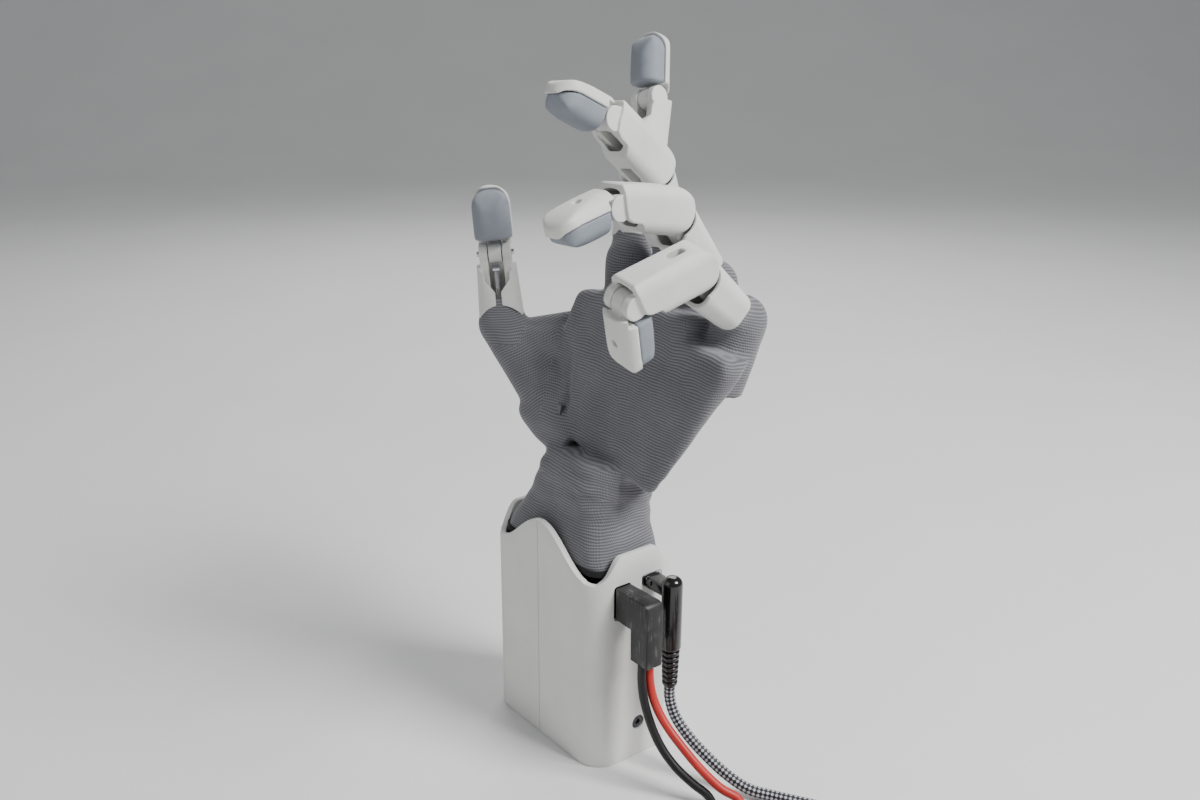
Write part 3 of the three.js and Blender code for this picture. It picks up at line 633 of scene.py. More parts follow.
class HAND_OT_housing(bpy.types.Operator):
    """Builds the two halves of the wrist housing with their socket holes and screw seat"""
    bl_idname = "hand.housing"
    bl_label = "Wrist housing"

    def execute(self, context):
        sizes, finishes = context.scene.hand_sizes, context.scene.hand_finishes
        wall = housing_wall(sizes)
        ulnar = housing_half(wall, "housing_half_ulnar", 1)
        radial = housing_half(wall, "housing_half_radial", -1)
        drop(wall)
        face = sizes.housing_width / 2 / MM
        power = block("power_hole", (face - 6, face + 2), (POWER_Y - 4.3, POWER_Y + 4.3), (66, 81))
        usb = block("usb_hole", (face - 6, face + 2), (USB_Y - 5.3, USB_Y + 5.3), (USB_Z - 2.5, USB_Z + 2.5))
        seat = rod("screw_seat", "X", 3.1, face - 1.9, face + 1, (0, SCREW_Y, SCREW_Z), 48)
        bore = rod("screw_bore", "X", 1.6, face - 5, face + 1, (0, SCREW_Y, SCREW_Z), 24)
        bevel(power, lambda at, way: abs(way.x) > 0.9, 1.5, 4)
        bevel(usb, lambda at, way: abs(way.x) > 0.9, 1.2, 4)
        for tool in (power, usb, seat, bore):
            carve(ulnar, tool)
        nylon = housing_nylon(finishes)
        for half, cad in ((ulnar, "housing_ulnar_shell"), (radial, "housing_radial_shell")):
            smooth_by_angle(half)
            finish_piece(half, nylon, "housing", (cad,))
        return {"FINISHED"}


class HAND_OT_screw(bpy.types.Operator):
    """Builds the countersunk hexagon-socket screw in the housing's side"""
    bl_idname = "hand.screw"
    bl_label = "Housing screw"

    def execute(self, context):
        face = context.scene.hand_sizes.housing_width / 2 / MM
        at = (0, SCREW_Y, SCREW_Z)
        head = rod("housing_screw_head", "X", 2.8, face - 1.6, face - 0.4, at, 64)
        bevel(head, lambda mid, way: mid.x > face - 0.5 and abs(way.x) < 0.1, 0.35, 3)
        carve(head, rod("hexagon", "X", 1.35, face - 1.2, face + 1, at, 6))
        carve(head, rod("shank", "X", 1.25, face - 7, face - 1.5, at, 24), "UNION")
        smooth_by_angle(head, 30)
        finish_piece(head, metal("black_oxide_steel", "#4A4A4D", 0.4), "housing", ("housing_screw",))
        return {"FINISHED"}


# ------------------------------------------------------------------ finger shells
def finger_bar(name, width, depth, z0, z1, radius=6.2):
    """A length of the finger's rounded section."""
    bar = block(name, (-width / 2, width / 2), (-depth / 2, depth / 2), (z0, z1))
    return bevel(bar, lambda at, way: abs(way.z) > 0.9, radius, 12)


def lug(name, x0, x1, radius, z, foot):
    """A plate with a round eye at height z and its foot in the shell."""
    eye = rod(name, "X", radius, x0, x1, (0, 0, z))
    return carve(eye, block("foot", (x0, x1), (-radius * 0.8, radius * 0.8), sorted((z, foot))), "UNION")


def reshape(obj, move):
    """Draws a finished form wider or slimmer: move takes and returns a point in millimetres."""
    for vertex in obj.data.vertices:
        vertex.co = Vector(move(vertex.co / MM)) * MM


def proximal_form(sizes):
    width, depth = sizes.finger_width / MM, 17.6
    joint = sizes.proximal_length / MM
    shell = finger_bar("proximal_form", width, depth, 9.5, joint + 6)
    sides = ((-10, 8), (-10, 30), (-7.4, 31), (-3, 33), (10, joint + 2.5), (10, 8))
    carve(shell, outline("side", sides, "X", -9, 9), "INTERSECT")
    carve(shell, rod("knuckle_room", "X", 9.4, -10, 10, (0, 0, joint), 72))
    carve(shell, finger_bar("inside", width - 2.6, depth - 3, 4, 60, 5.2))
    # The shell slims from the knuckle down to the palm end, and flares a little round the knuckle
    reshape(shell, lambda at: (at.x * (1 + 0.05 * min(max((at.z - 24) / 8, 0), 1)),
                               at.y * (0.86 + 0.16 * min(max((at.z - 12) / 22, 0), 1)), at.z))
    plate = finger_bar("bulkhead", width - 1.4, 13.4, 14, 17, 5.2)
    carve(shell, plate, "UNION")
    carve(shell, lug("lug", -2.4, 2.4, 4.6, joint, 15), "UNION")
    carve(shell, rod("pin_bore", "X", 1.7, -3, 3, (0, 0, joint), 20))
    return soften(shell, 0.34, 3, 0.5)


def middle_form(sizes):
    """A drum about the middle knuckle that runs out into a slimmer sleeve, open on its palm side."""
    width = sizes.finger_width / MM - 0.9
    joint = sizes.middle_length / MM
    arc = [(8.8 * math.cos(math.radians(a)), 8.8 * math.sin(math.radians(a))) for a in range(176, 365, 6)]
    sides = [*arc, (8.9, 4), (8.8, 12), (8.4, joint - 0.4), (7.7, joint + 0.5), (5, joint), (0, joint - 1.5),
             (-3.6, joint - 3), (-4.7, joint - 5.5), (-4.9, joint - 9.6), (-8.1, 14.5), (-8.6, 6)]
    shell = finger_bar("middle_form", width, 19, -12, joint + 3, 5.6)
    carve(shell, outline("side", sides, "X", -10, 10), "INTERSECT")
    carve(shell, finger_bar("inside", width - 2.6, 12.8, 7, joint + 6, 5))
    carve(shell, block("slot", (-2.9, 2.9), (-12, 5), (-12, 7.5)))
    # A slot over the knuckle's back shows the drive's eye
    window = block("window", (-1.7, 1.7), (4, 12), (1, 8.5))
    carve(shell, bevel(window, lambda at, way: abs(way.y) > 0.9, 1.5, 5))
    for x0, x1 in ((2.9, 6.2), (-6.2, -2.9)):
        carve(shell, lug("lug", x0, x1, 4.7, joint, 12), "UNION")
    return soften(shell, 0.34, 3, 0.5)


def curve_points(a, b, c, d, count):
    """Points along a cubic curve, without its last."""
    points = []
    for i in range(count):
        t = i / count
        s = 1 - t
        points.append(tuple(s ** 3 * a[k] + 3 * s * s * t * b[k] + 3 * s * t * t * c[k] + t ** 3 * d[k]
                            for k in (0, 1)))
    return points


def tip_bar(name, width, depth, tip, z0):
    """The fingertip's whole form, rounded over from the front and from the side."""
    bar = finger_bar(name, width, depth, z0, tip)
    radius = width / 2
    arc = [(radius * math.cos(math.radians(a)), tip - radius + radius * math.sin(math.radians(a)))
           for a in range(0, 181, 9)]
    carve(bar, outline("front", [(-radius, z0 - 1), (radius, z0 - 1), *arc], "Y", -9, 9), "INTERSECT")
    side = [(-9, z0 - 1), (9, z0 - 1), *curve_points((8, z0), (7.6, 18), (5, tip), (1, tip), 14),
            *curve_points((1, tip), (-5, tip), (-8, 22), (-8, 14), 14)]
    carve(bar, outline("side", side, "X", -9, 9), "INTERSECT")
    return soften(bar, 0.5, 16)


def nail_form(width, depth, tip):
    cap = tip_bar("nail_form", width, depth, tip, -3)
    hood = put(cap, "hood", Matrix())
    # The nail's lower edge dips towards the fingertip, so that it caps the pad
    edge = [(1.6, 5.8), (1.6, 19), *curve_points((1.6, 19), (1.4, 24), (0.2, 26.4), (-2, 27.2), 10),
            (-2, 40), (12, 40), (12, 5.8)]
    carve(cap, outline("cap_room", edge, "X", -9, 9), "INTERSECT")
    carve(hood, block("hood_room", (-9, 9), (4.6, 9), (2.8, 6.5)), "INTERSECT")
    carve(cap, hood, "UNION")
    tongue = rod("tongue", "X", 4.3, -2.7, 2.7)
    carve(tongue, block("tongue_foot", (-2.7, 2.7), (1.6, 4.3), (0, 6.5)), "UNION")
    carve(cap, tongue, "UNION")
    carve(cap, rod("screw_hole", "Y", 1.5, 5.2, 9, (0, 0, 14), 24))
    carve(cap, rod("screw_bore", "Y", 0.8, 3.4, 9, (0, 0, 14), 16))
    return soften(cap, 0.3, 6, 0.5)


def pad_form(width, depth, tip):
    pad = tip_bar("pad_form", width - 0.7, depth + 0.6, tip - 1.4, 5.8)
    edge = [(1.3, 5.8), (1.3, 19), *curve_points((1.3, 19), (1.1, 23.8), (-0.1, 26.1), (-2.3, 26.9), 10),
            (-12, 26.9), (-12, 5.8)]
    carve(pad, outline("pad_room", edge, "X", -9, 9), "INTERSECT")
    reshape(pad, lambda at: (at.x, at.y * (1 - 0.1 * (min(max((at.z - 5.8) / 20, 0), 1) - 0.35) ** 2 / 0.3), at.z))
    return soften(pad, 0.36, 12, 0.8)


class HAND_OT_fingers(bpy.types.Operator):
    """Builds the shells and pads of the four fingers, each form modelled once"""
    bl_idname = "hand.fingers"
    bl_label = "Fingers"

    def execute(self, context):
        sizes, finishes = context.scene.hand_sizes, context.scene.hand_finishes
        nylon, silicone = sintered_nylon(finishes), pad_silicone(finishes)
        width, depth, tip = sizes.finger_width / MM, sizes.finger_depth / MM, sizes.tip_length / MM
        proximal, middle = proximal_form(sizes), middle_form(sizes)
        nail, pad = nail_form(width, depth, tip), pad_form(width, depth, tip)
        for name in FINGERS:
            _, at_proximal, at_middle, at_tip = finger_frames(name, sizes)
            finish_piece(put(proximal, f"{name}_proximal_casing", at_proximal), nylon,
                         f"{name}_proximal", (f"{name}_proximal_shell",))
            finish_piece(put(middle, f"{name}_middle_casing", at_middle), nylon,
                         f"{name}_middle", (f"{name}_middle_shell",))
            finish_piece(put(nail, f"{name}_nail_casing", at_tip), nylon,
                         f"{name}_tip", (f"{name}_nail_shell",))
            finish_piece(put(pad, f"{name}_soft_pad", at_tip), silicone,
                         f"{name}_tip", (f"{name}_tip_pad",))
        screw = tip_screw()
        dark = metal("black_oxide_steel", "#343437", 0.4)
        for name in FINGERS:
            at_tip = finger_frames(name, sizes)[3]
            finish_piece(put(screw, f"{name}_nail_screw", at_tip), dark, f"{name}_tip")
        drop(proximal, middle, nail, pad, screw)
        return {"FINISHED"}


def tip_screw():
    """The small socket screw that holds the nail shell, sunk in its hole."""
    head = rod("tip_screw", "Y", 1.3, 3.6, 5.3, (0, 0, 14), 32)
    bevel(head, lambda at, way: at.y > 5.2 and abs(way.y) < 0.1, 0.25, 2)
    carve(head, rod("hexagon", "Y", 0.65, 4.6, 7, (0, 0, 14), 6))
    return smooth_by_angle(head, 30)


def thumb_form(sizes):
    """The thumb's shell: arched over the knit at its foot, open for the push rod at its top."""
    width, depth = sizes.thumb_width / MM, sizes.finger_depth / MM
    shell = finger_bar("thumb_form", width, depth + 0.6, -1.5, 27)
    sides = ((-9, -2), (-9, 21), (-5, 23), (-2, 25.5), (9, 25.5), (9, -2))
    carve(shell, outline("side", sides, "X", -10, 10), "INTERSECT")
    arch = [(9 * math.cos(math.radians(a)), -3 + 12 * math.sin(math.radians(a)) ** 0.9) for a in range(0, 181, 9)]
    carve(shell, outline("arch", [*arch, (-9, -6), (9, -6)], "Y", -10, 10))
    carve(shell, finger_bar("inside", width - 2.6, depth - 2.2, -4, 40, 5))
    recess = [(-1.2, 8), (1.2, 8), (1.2, 14.5), (5.2, 19.5), (5.6, 30), (-5.6, 30), (-5.2, 19.5), (-1.2, 14.5)]
    carve(shell, outline("recess", recess, "Y", -10, -4))
    carve(shell, finger_bar("bulkhead", width - 1.4, depth - 1.2, 9.5, 11.2, 5.2), "UNION")
    for x0, x1 in ((3.1, 6.6), (-6.6, -3.1)):
        carve(shell, lug("lug", x0, x1, 4.5, 30, 10), "UNION")
    # The foot flares over the knit
    reshape(shell, lambda at: (at.x * (1 + 0.2 * min(max((16 - at.z) / 18, 0), 1)),
                               at.y * (1 + 0.12 * min(max((16 - at.z) / 18, 0), 1)), at.z))
    return soften(shell, 0.34, 3, 0.5)


class HAND_OT_thumb(bpy.types.Operator):
    """Builds the thumb's shells and pad"""
    bl_idname = "hand.thumb"
    bl_label = "Thumb"

    def execute(self, context):
        sizes, finishes = context.scene.hand_sizes, context.scene.hand_finishes
        nylon = sintered_nylon(finishes)
        width, depth, tip = sizes.thumb_width / MM, sizes.finger_depth / MM, sizes.tip_length / MM
        at_tip = frame_at(THUMB, (0, 0, 30))
        shell, nail, pad = thumb_form(sizes), nail_form(width, depth, tip), pad_form(width, depth, tip)
        finish_piece(put(shell, "thumb_proximal_casing", THUMB), nylon, "thumb_proximal",
                     ("thumb_proximal_shell",))
        finish_piece(put(nail, "thumb_nail_casing", at_tip), nylon, "thumb_tip", ("thumb_nail_shell",))
        finish_piece(put(pad, "thumb_soft_pad", at_tip), pad_silicone(finishes), "thumb_tip",
                     ("thumb_tip_pad",))
        drop(shell, nail, pad)
        return {"FINISHED"}


# ------------------------------------------------------------------ knit sleeve
def knit_form(sizes):
    """The whole sleeve as one closed form: cuff, neck, palm, knuckles and the thumb's root."""
    parts = []
    palm_points = ((-17, 16), (-4, 13), (10, 12), (25, 9), (38, 8), (43, 14), (62, 62), (60, 68), (38.5, 69),
                   (37.5, 78), (15.5, 78), (14.5, 83), (-7, 83), (-8, 78), (-24, 75), (-28, 62), (-29, 50), (-27, 22))
    slab = outline("palm_slab", palm_points, "Y", -8, 24.5)
    # The back slants away towards the little finger's side
    pick(slab)
    bpy.ops.object.mode_set(mode="EDIT")
    bpy.ops.mesh.select_all(action="SELECT")
    bpy.ops.mesh.bisect(plane_co=Vector((28.6, 0, 0)) * MM, plane_no=(0.7128, 0.5845, -0.388), use_fill=True,
                        clear_outer=True)
    bpy.ops.object.mode_set(mode="OBJECT")
    slab.data.transform(PALM)
    parts.append(soften(slab, 1.4, 22))
    for name in FINGERS:
        straight, proximal, _, _ = finger_frames(name, sizes)
        root = taper("root", (0, 0, -28), (0, 0, 0), 10.5, 10, 32)
        root.data.transform(straight)
        knuckle = ball("knuckle", (0, 0, 0), 9.8)
        knuckle.data.transform(straight)
        stub = finger_bar("stub", 15.2, 14.8, -2, 18, 6.4)
        stub.data.transform(proximal)
        parts += [root, knuckle, stub]
    thumb = [taper("thumb_arm", (2, 0, 2), THUMB_REACH, 8.5, 10.2), ball("thumb_joint", THUMB_REACH, 10.3),
             ball("thenar", (3, 3, 3), 11, (1, 0.8, 1.1)),
             taper("web_top", THUMB_REACH + Vector((2, 4, -5)), (6, 15, 36), 6.5, 8),
             taper("web_mid", THUMB_REACH * 0.75 + Vector((2, 3, 0)), (8, 12, 30), 8.5, 9.5),
             taper("web_low", THUMB_REACH * 0.4 + Vector((2, 3, 0)), (8, 10, 14), 9, 9.5)]
    # Cloth drawn up in front of the first two knuckles, and down over the thumb's shelf
    for piece in (ball("palm_rise", (4, 0, 76.5), 9.4, (1.4, 0.9, 1)), ball("shelf_cover", (-32, -7.5, 21), 9),
                  taper("shelf_fold", (-32, -7.5, 21), (-14, -1, 12), 9, 11)):
        piece.data.transform(PALM)
        parts.append(piece)
    for piece in thumb:
        piece.data.transform(THUMB_BASE)
    tube = finger_bar("thumb_stub", 16.6, 15.4, -2, 16, 6.6)
    tube.data.transform(THUMB)
    # The cuff fills the housing's mouth and draws in to the wrist, where the cloth passes round the joint
    # Each ring: width, depth, corner, the shift of its middle in x and y, and its height
    rings = ((65.5, 35.6, 8.5, 0, 0, 80), (65, 35.6, 8.5, 0, 0, 87), (61, 35, 9, 0.3, 0.3, 92),
             (56, 34.5, 10, 1, 1, 97), (51.5, 34.5, 11, 2, 2.2, 103), (49, 35, 12, 3, 3.4, 109),
             (47, 35.5, 13, 3.6, 4.4, 116), (44, 33, 13, 4, 6, 124))
    cuffs = [oval_band(low, high) for low, high in zip(rings, rings[1:])]
    return merge("knit_form", [*parts, *thumb, tube, *cuffs])


def oval_band(low, high):
    """A closed slice between two level rounded rectangles."""
    deselect()
    bpy.ops.mesh.primitive_cylinder_add(vertices=96, radius=1, depth=1)
    band = named("cuff_band")
    rims = [round_rectangle(w, d, corner, 96) for w, d, corner, *_ in (low, high)]
    for vertex in band.data.vertices:
        top = vertex.co.z > 0
        index = round(math.atan2(vertex.co.y, vertex.co.x) / (2 * math.pi) * 96) % 96
        x, y = rims[top][index]
        _, _, _, dx, dy, z = (low, high)[top]
        vertex.co = Vector((x + dx, y + dy, z + (0.3 if top else 0))) * MM
    return band


# Sharp folds in the palm's frame: two ends, half width and depth, in millimetres
CREASES = (((-21, -12, 66), (-17, -9, 31), 1.6, 3.2), ((-40, -19, 54), (-31, -14, 42), 1.3, 0.9),
           ((-35, -17, 56), (-25, -12, 46), 1.2, 0.8), ((-28, -13, 58), (-22, -9, 52), 1.2, 0.8))


def wrinkle(obj):
    """Gathers the cloth: soft folds round the wrist, in the thumb's web and under the heel of the palm."""
    to_palm = PALM.inverted()
    mesh = obj.data
    normals = [vertex.normal.copy() for vertex in mesh.vertices]
    for vertex, normal in zip(mesh.vertices, normals):
        at = vertex.co
        local = to_palm @ at / MM
        folds = math.exp(-((local.z - 4) / 13) ** 2)
        wave = math.sin(local.z * 0.75 + 2.4 * noise.noise(at * 60)) * 0.35 * folds
        slow = noise.noise(at * 55) * 0.8 + noise.noise(at * 120) * 0.3
        move = wave + slow * 0.6
        for a, b, width, deep in CREASES:
            if local.y < 6:
                start, way = Vector(a), Vector(b) - Vector(a)
                part = (local - start).dot(way) / way.length_squared
                if -0.25 < part < 1.25:
                    off = (local - start - way * part).length
                    ends = 1 if 0 <= part <= 1 else max(0, 1 - 4 * (part - 1 if part > 1 else -part))
                    move -= deep * ends * math.exp(-(off / width) ** 2)
        vertex.co = at + normal * move * MM


def split_faces(obj, name, keep):
    """Moves the faces whose middle passes keep into an object of their own."""
    pick(obj)
    mesh = obj.data
    for part in (mesh.vertices, mesh.edges):
        part.foreach_set("select", [False] * len(part))
    for face in mesh.polygons:
        face.select = bool(keep(face.center))
    before = set(bpy.data.objects)
    bpy.ops.object.mode_set(mode="EDIT")
    bpy.ops.mesh.select_mode(type="FACE")
    bpy.ops.mesh.separate(type="SELECTED")
    bpy.ops.object.mode_set(mode="OBJECT")
    piece = (set(bpy.data.objects) - before).pop()
    piece.name = name
    return piece


def trim(obj, matrix, at, reach):
    """Cuts the cloth off at a height in a frame, near that frame's axis only."""
    inverse = matrix.inverted()
    pick(obj)
    mesh = obj.data
    for part in (mesh.vertices, mesh.edges):
        part.foreach_set("select", [False] * len(part))
    for face in mesh.polygons:
        spot = inverse @ face.center / MM
        face.select = math.hypot(spot.x, spot.y) < reach and spot.z > at - 6
    bpy.ops.object.mode_set(mode="EDIT")
    bpy.ops.mesh.select_mode(type="FACE")
    place = matrix @ (Vector((0, 0, at)) * MM)
    way = matrix.to_3x3() @ Vector((0, 0, 1))
    bpy.ops.mesh.bisect(plane_co=place, plane_no=way, use_fill=False, clear_outer=True)
    bpy.ops.object.mode_set(mode="OBJECT")


def lay_weave(obj, matrix):
    """Gives the cloth its own map, in metres: x round the sleeve and y along it, in the given frame."""
    inverse = matrix.inverted()
    mesh = obj.data
    layer = mesh.uv_layers.get("weave") or mesh.uv_layers.new(name="weave")
    for face in mesh.polygons:
        normal = inverse.to_3x3() @ face.normal
        for loop in face.loop_indices:
            spot = inverse @ mesh.vertices[mesh.loops[loop].vertex_index].co
            across = spot.x if abs(normal.y) > 0.5 else spot.y
            layer.data[loop].uv = (across, spot.z)


def knit_piece(obj, material, weave_frame):
    apply_modifier(obj, "SOLIDIFY", thickness=0.8 * MM, offset=-1)
    lay_weave(obj, weave_frame)
    smooth_by_angle(obj, 50)
    obj.data.materials.clear()
    obj.data.materials.append(material)
    return obj


class HAND_OT_sleeve(bpy.types.Operator):
    """Builds the knit sleeve as one smooth form and parts it at the joints it crosses"""
    bl_idname = "hand.sleeve"
    bl_label = "Knit sleeve"

    def execute(self, context):
        sizes, finishes = context.scene.hand_sizes, context.scene.hand_finishes
        form = knit_form(sizes)
        soften(form, 0.9, 14)
        wrinkle(form)
        for name in FINGERS:
            trim(form, finger_frames(name, sizes)[1], FINGER_HEM, 14)
        trim(form, THUMB, THUMB_HEM, 14)
        trim(form, Matrix.Rotation(math.pi, 4, "X"), -CUFF_HEM, 60)
        cloth = knit_cloth(finishes, sizes)
        wrist = Vector(WRIST) * MM
        up = PALM.to_3x3() @ Vector((0, 0, 1))
        # Knuckle sleeves, each parted from the palm round its finger's knuckle
        for name, (_, _, bend) in FINGERS.items():
            straight, proximal, _, _ = finger_frames(name, sizes)
            inverse, bent = straight.inverted(), proximal.inverted()

            def near(co, inverse=inverse, bent=bent):
                spot, ahead = inverse @ co / MM, bent @ co / MM
                root = spot.z > -7 and abs(spot.x) < 12.5 and -11 < spot.y < 15
                return root or (ahead.z > 1 and ahead.xy.length < 10.8)
            piece = split_faces(form, f"{name}_knuckle_knit", near)
            knit_piece(piece, cloth, PALM)
            half = math.radians(bend[0] / 2)
            way = (straight.to_3x3() @ Vector((0, -math.sin(half), math.cos(half)))).normalized()
            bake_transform(piece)
            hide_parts("sleeve_palm")
        # The thumb's sleeve, parted from the palm at its root, and its cuff over the first knuckle
        inverse, to_palm = THUMB.inverted(), PALM.inverted()
        out = (PALM.to_3x3() @ Vector(THUMB_FOLD_WAY)).normalized()
        edge = PALM @ (Vector(THUMB_FOLD) * MM)
        cuff = split_faces(form, "thumb_knuckle_knit", lambda co: (inverse @ co).z > -7 * MM
                           and (inverse @ co / MM).xy.length < 16 and (co - edge).dot(out) > 14.5 * MM)
        knit_piece(cuff, cloth, THUMB)
        knuckle = THUMB.translation
        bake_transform(cuff)
        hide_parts("sleeve_thumb")
        root = THUMB_BASE.translation
        way = (knuckle - root).normalized()
        arm = split_faces(form, "thumb_root_knit",
                          lambda co: (co - edge).dot(out) > 0 and (to_palm @ co).z > 4 * MM)
        frame_arm = Matrix.Translation(root) @ way.to_track_quat("Z", "Y").to_matrix().to_4x4()
        knit_piece(arm, cloth, frame_arm)
        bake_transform(arm)
        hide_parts("sleeve_thumb")
        low = split_faces(form, "wrist_cuff_knit", lambda co: (co - wrist).dot(up) < 0)
        knit_piece(low, cloth, Matrix())
        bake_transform(low)
        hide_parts("sleeve_cuff", "sleeve_neck")
        knit_piece(form, cloth, PALM)
        form.name = "palm_knit"
        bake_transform(form)
        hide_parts("sleeve_palm", "sleeve_neck")
        return {"FINISHED"}


# ------------------------------------------------------------------ plugs
class HAND_OT_plugs(bpy.types.Operator):
    """Builds the right-angled power plug and the domed cable plug"""
    bl_idname = "hand.plugs"
    bl_label = "Plugs"

    def execute(self, context):
        sizes, finishes = context.scene.hand_sizes, context.scene.hand_finishes
        face = sizes.housing_width / 2 / MM + 0.3
        side = [(face, 67), (45.2, 67), *curve_points((45.2, 67), (45.8, 67), (46, 66.6), (46, 66), 4), (46, 53.5),
                (56, 53.5), (56, 77.3), *curve_points((56, 77.3), (56, 79.6), (55, 80.8), (52.8, 80.8), 6),
                (face, 80.5)]
        plug = outline("power_plug_body", side, "Y", POWER_Y - 4, POWER_Y + 4)
        bevel(plug, lambda at, way: abs(way.y) < 0.1, 0.6, 3)
        groove = block("groove", (45.5, 60), (POWER_Y - 0.25, POWER_Y + 0.25), (50, 54.2))
        carve(plug, groove)
        nose = block("nose", (face - 6, face + 1), (POWER_Y - 2.4, POWER_Y + 2.4), (68, 79))
        carve(plug, nose, "UNION")
        smooth_by_angle(plug)
        finish_piece(plug, worn_moulding(finishes), "housing", ("power_plug",))

        barrel = rod("usb_plug_body", "Z", 4.15, 53.5, 84.7, (USB_X, USB_Y, 0), 64)
        bevel(barrel, lambda at, way: at.z > 84.6, 3.2, 8)
        bevel(barrel, lambda at, way: at.z < 53.6 and abs(way.z) < 0.1, 0.9, 3)
        neck = block("neck", (face, 50), (USB_Y - 3.4, USB_Y + 3.4), (USB_Z - 3.5, USB_Z + 1.5))
        bevel(neck, lambda at, way: abs(way.x) > 0.9, 1.2, 4)
        carve(barrel, neck, "UNION")
        carve(barrel, block("nose", (face - 6, 40), (USB_Y - 3.9, USB_Y + 3.9), (USB_Z - 1, USB_Z + 1)), "UNION")
        smooth_by_angle(barrel)
        finish_piece(barrel, gloss_moulding(), "housing", ("usb_plug",))

        rings = []
        core = taper("usb_strain_relief", (USB_X, USB_Y, 36.7), (USB_X, USB_Y, 54), 2.6, 3.1, 40)
        for i in range(7):
            z = 52 - 2.3 * i
            ring = rod("ring", "Z", 3.7 - 0.09 * i, z - 0.75, z + 0.75, (USB_X, USB_Y, 0), 40)
            rings.append(bevel(ring, lambda at, way: abs(way.z) < 0.1, 0.4, 3))
        for ring in rings:
            carve(core, ring, "UNION")
        smooth_by_angle(core)
        finish_piece(core, gloss_moulding(), "housing", ("usb_plug",))
        return {"FINISHED"}


# ------------------------------------------------------------------ leads
def on_floor(n, t, z):
    return FLOOR @ (Vector((n, t, z)) * MM)


def spot(x, y, z):
    return Vector((x, y, z)) * MM


def smooth_run(points, step):
    """Even points along a smooth curve through the given ones, without its last."""
    ends = [points[0] * 2 - points[1], *points, points[-1] * 2 - points[-2]]
    fine = []
    for p0, p1, p2, p3 in zip(ends, ends[1:], ends[2:], ends[3:]):
        t1 = max((p1 - p0).length ** 0.5, 1e-6)
        t2 = t1 + max((p2 - p1).length ** 0.5, 1e-6)
        t3 = t2 + max((p3 - p2).length ** 0.5, 1e-6)
        for i in range(12):
            t = t1 + (t2 - t1) * i / 12
            a1 = p0 * ((t1 - t) / t1) + p1 * (t / t1)
            a2 = p1 * ((t2 - t) / (t2 - t1)) + p2 * ((t - t1) / (t2 - t1))
            a3 = p2 * ((t3 - t) / (t3 - t2)) + p3 * ((t - t2) / (t3 - t2))
            b1 = a1 * ((t2 - t) / t2) + a2 * (t / t2)
            b2 = a2 * ((t3 - t) / (t3 - t1)) + a3 * ((t - t1) / (t3 - t1))
            fine.append(b1 * ((t2 - t) / (t2 - t1)) + b2 * ((t - t1) / (t2 - t1)))
    fine.append(points[-1])
    even, left = [fine[0]], step
    for a, b in zip(fine, fine[1:]):
        while (b - a).length > left:
            a = a + (b - a).normalized() * left
            even.append(a)
            left = step
        left -= (b - a).length
    even.append(fine[-1])
    return even


def wound(centre, outer, turns, diameter, start, way, low):
    """Two flat spirals: in along the floor, up a diameter, and out again on top."""
    points = []
    per_turn = 24
    for layer in (0, 1):
        for i in range(turns * per_turn + (0 if layer == 0 else 1)):
            part = i / per_turn
            radius = outer - diameter * part if layer == 0 else outer - diameter * (turns - part)
            angle = math.radians(start + way * 360 * part)
            rise = min(part / 0.35, 1) * diameter if layer else 0
            points.append(on_floor(centre[0] + radius * math.cos(angle), centre[1] + radius * math.sin(angle),
                                   low + rise))
    return points


def tube(name, path, diameter, sides):
    """A round mesh tube along a path, with its own map: x round it, y its length in metres."""
    vertices, faces, maps = [], [], []
    run = 0
    ahead = (path[1] - path[0]).normalized()
    side = ahead.cross(Vector((0, 0, 1)) if abs(ahead.z) < 0.9 else Vector((1, 0, 0))).normalized()
    lengths = []
    for i, point in enumerate(path):
        if i:
            run += (point - path[i - 1]).length
        tangent = (path[min(i + 1, len(path) - 1)] - path[max(i - 1, 0)]).normalized()
        side = (side - tangent * side.dot(tangent)).normalized()
        up = tangent.cross(side)
        lengths.append(run)
        for k in range(sides):
            angle = 2 * math.pi * k / sides
            vertices.append(point + (side * math.cos(angle) + up * math.sin(angle)) * diameter / 2)
    for i in range(len(path) - 1):
        for k in range(sides):
            j = (k + 1) % sides
            faces.append((i * sides + k, i * sides + j, (i + 1) * sides + j, (i + 1) * sides + k))
            maps += [(k / sides, lengths[i]), ((k + 1) / sides, lengths[i]), ((k + 1) / sides, lengths[i + 1]),
                     (k / sides, lengths[i + 1])]
    last = (len(path) - 1) * sides
    faces += [tuple(reversed(range(sides))), tuple(range(last, last + sides))]
    maps += [(0, 0)] * sides + [(0, run)] * sides
    mesh = bpy.data.meshes.new(name)
    mesh.from_pydata(vertices, [], faces)
    layer = mesh.uv_layers.new(name="weave")
    for item, uv in zip(layer.data, maps):
        item.uv = uv
    obj = bpy.data.objects.new(name, mesh)
    bpy.context.scene.collection.objects.link(obj)
    return smooth_by_angle(obj, 60), run


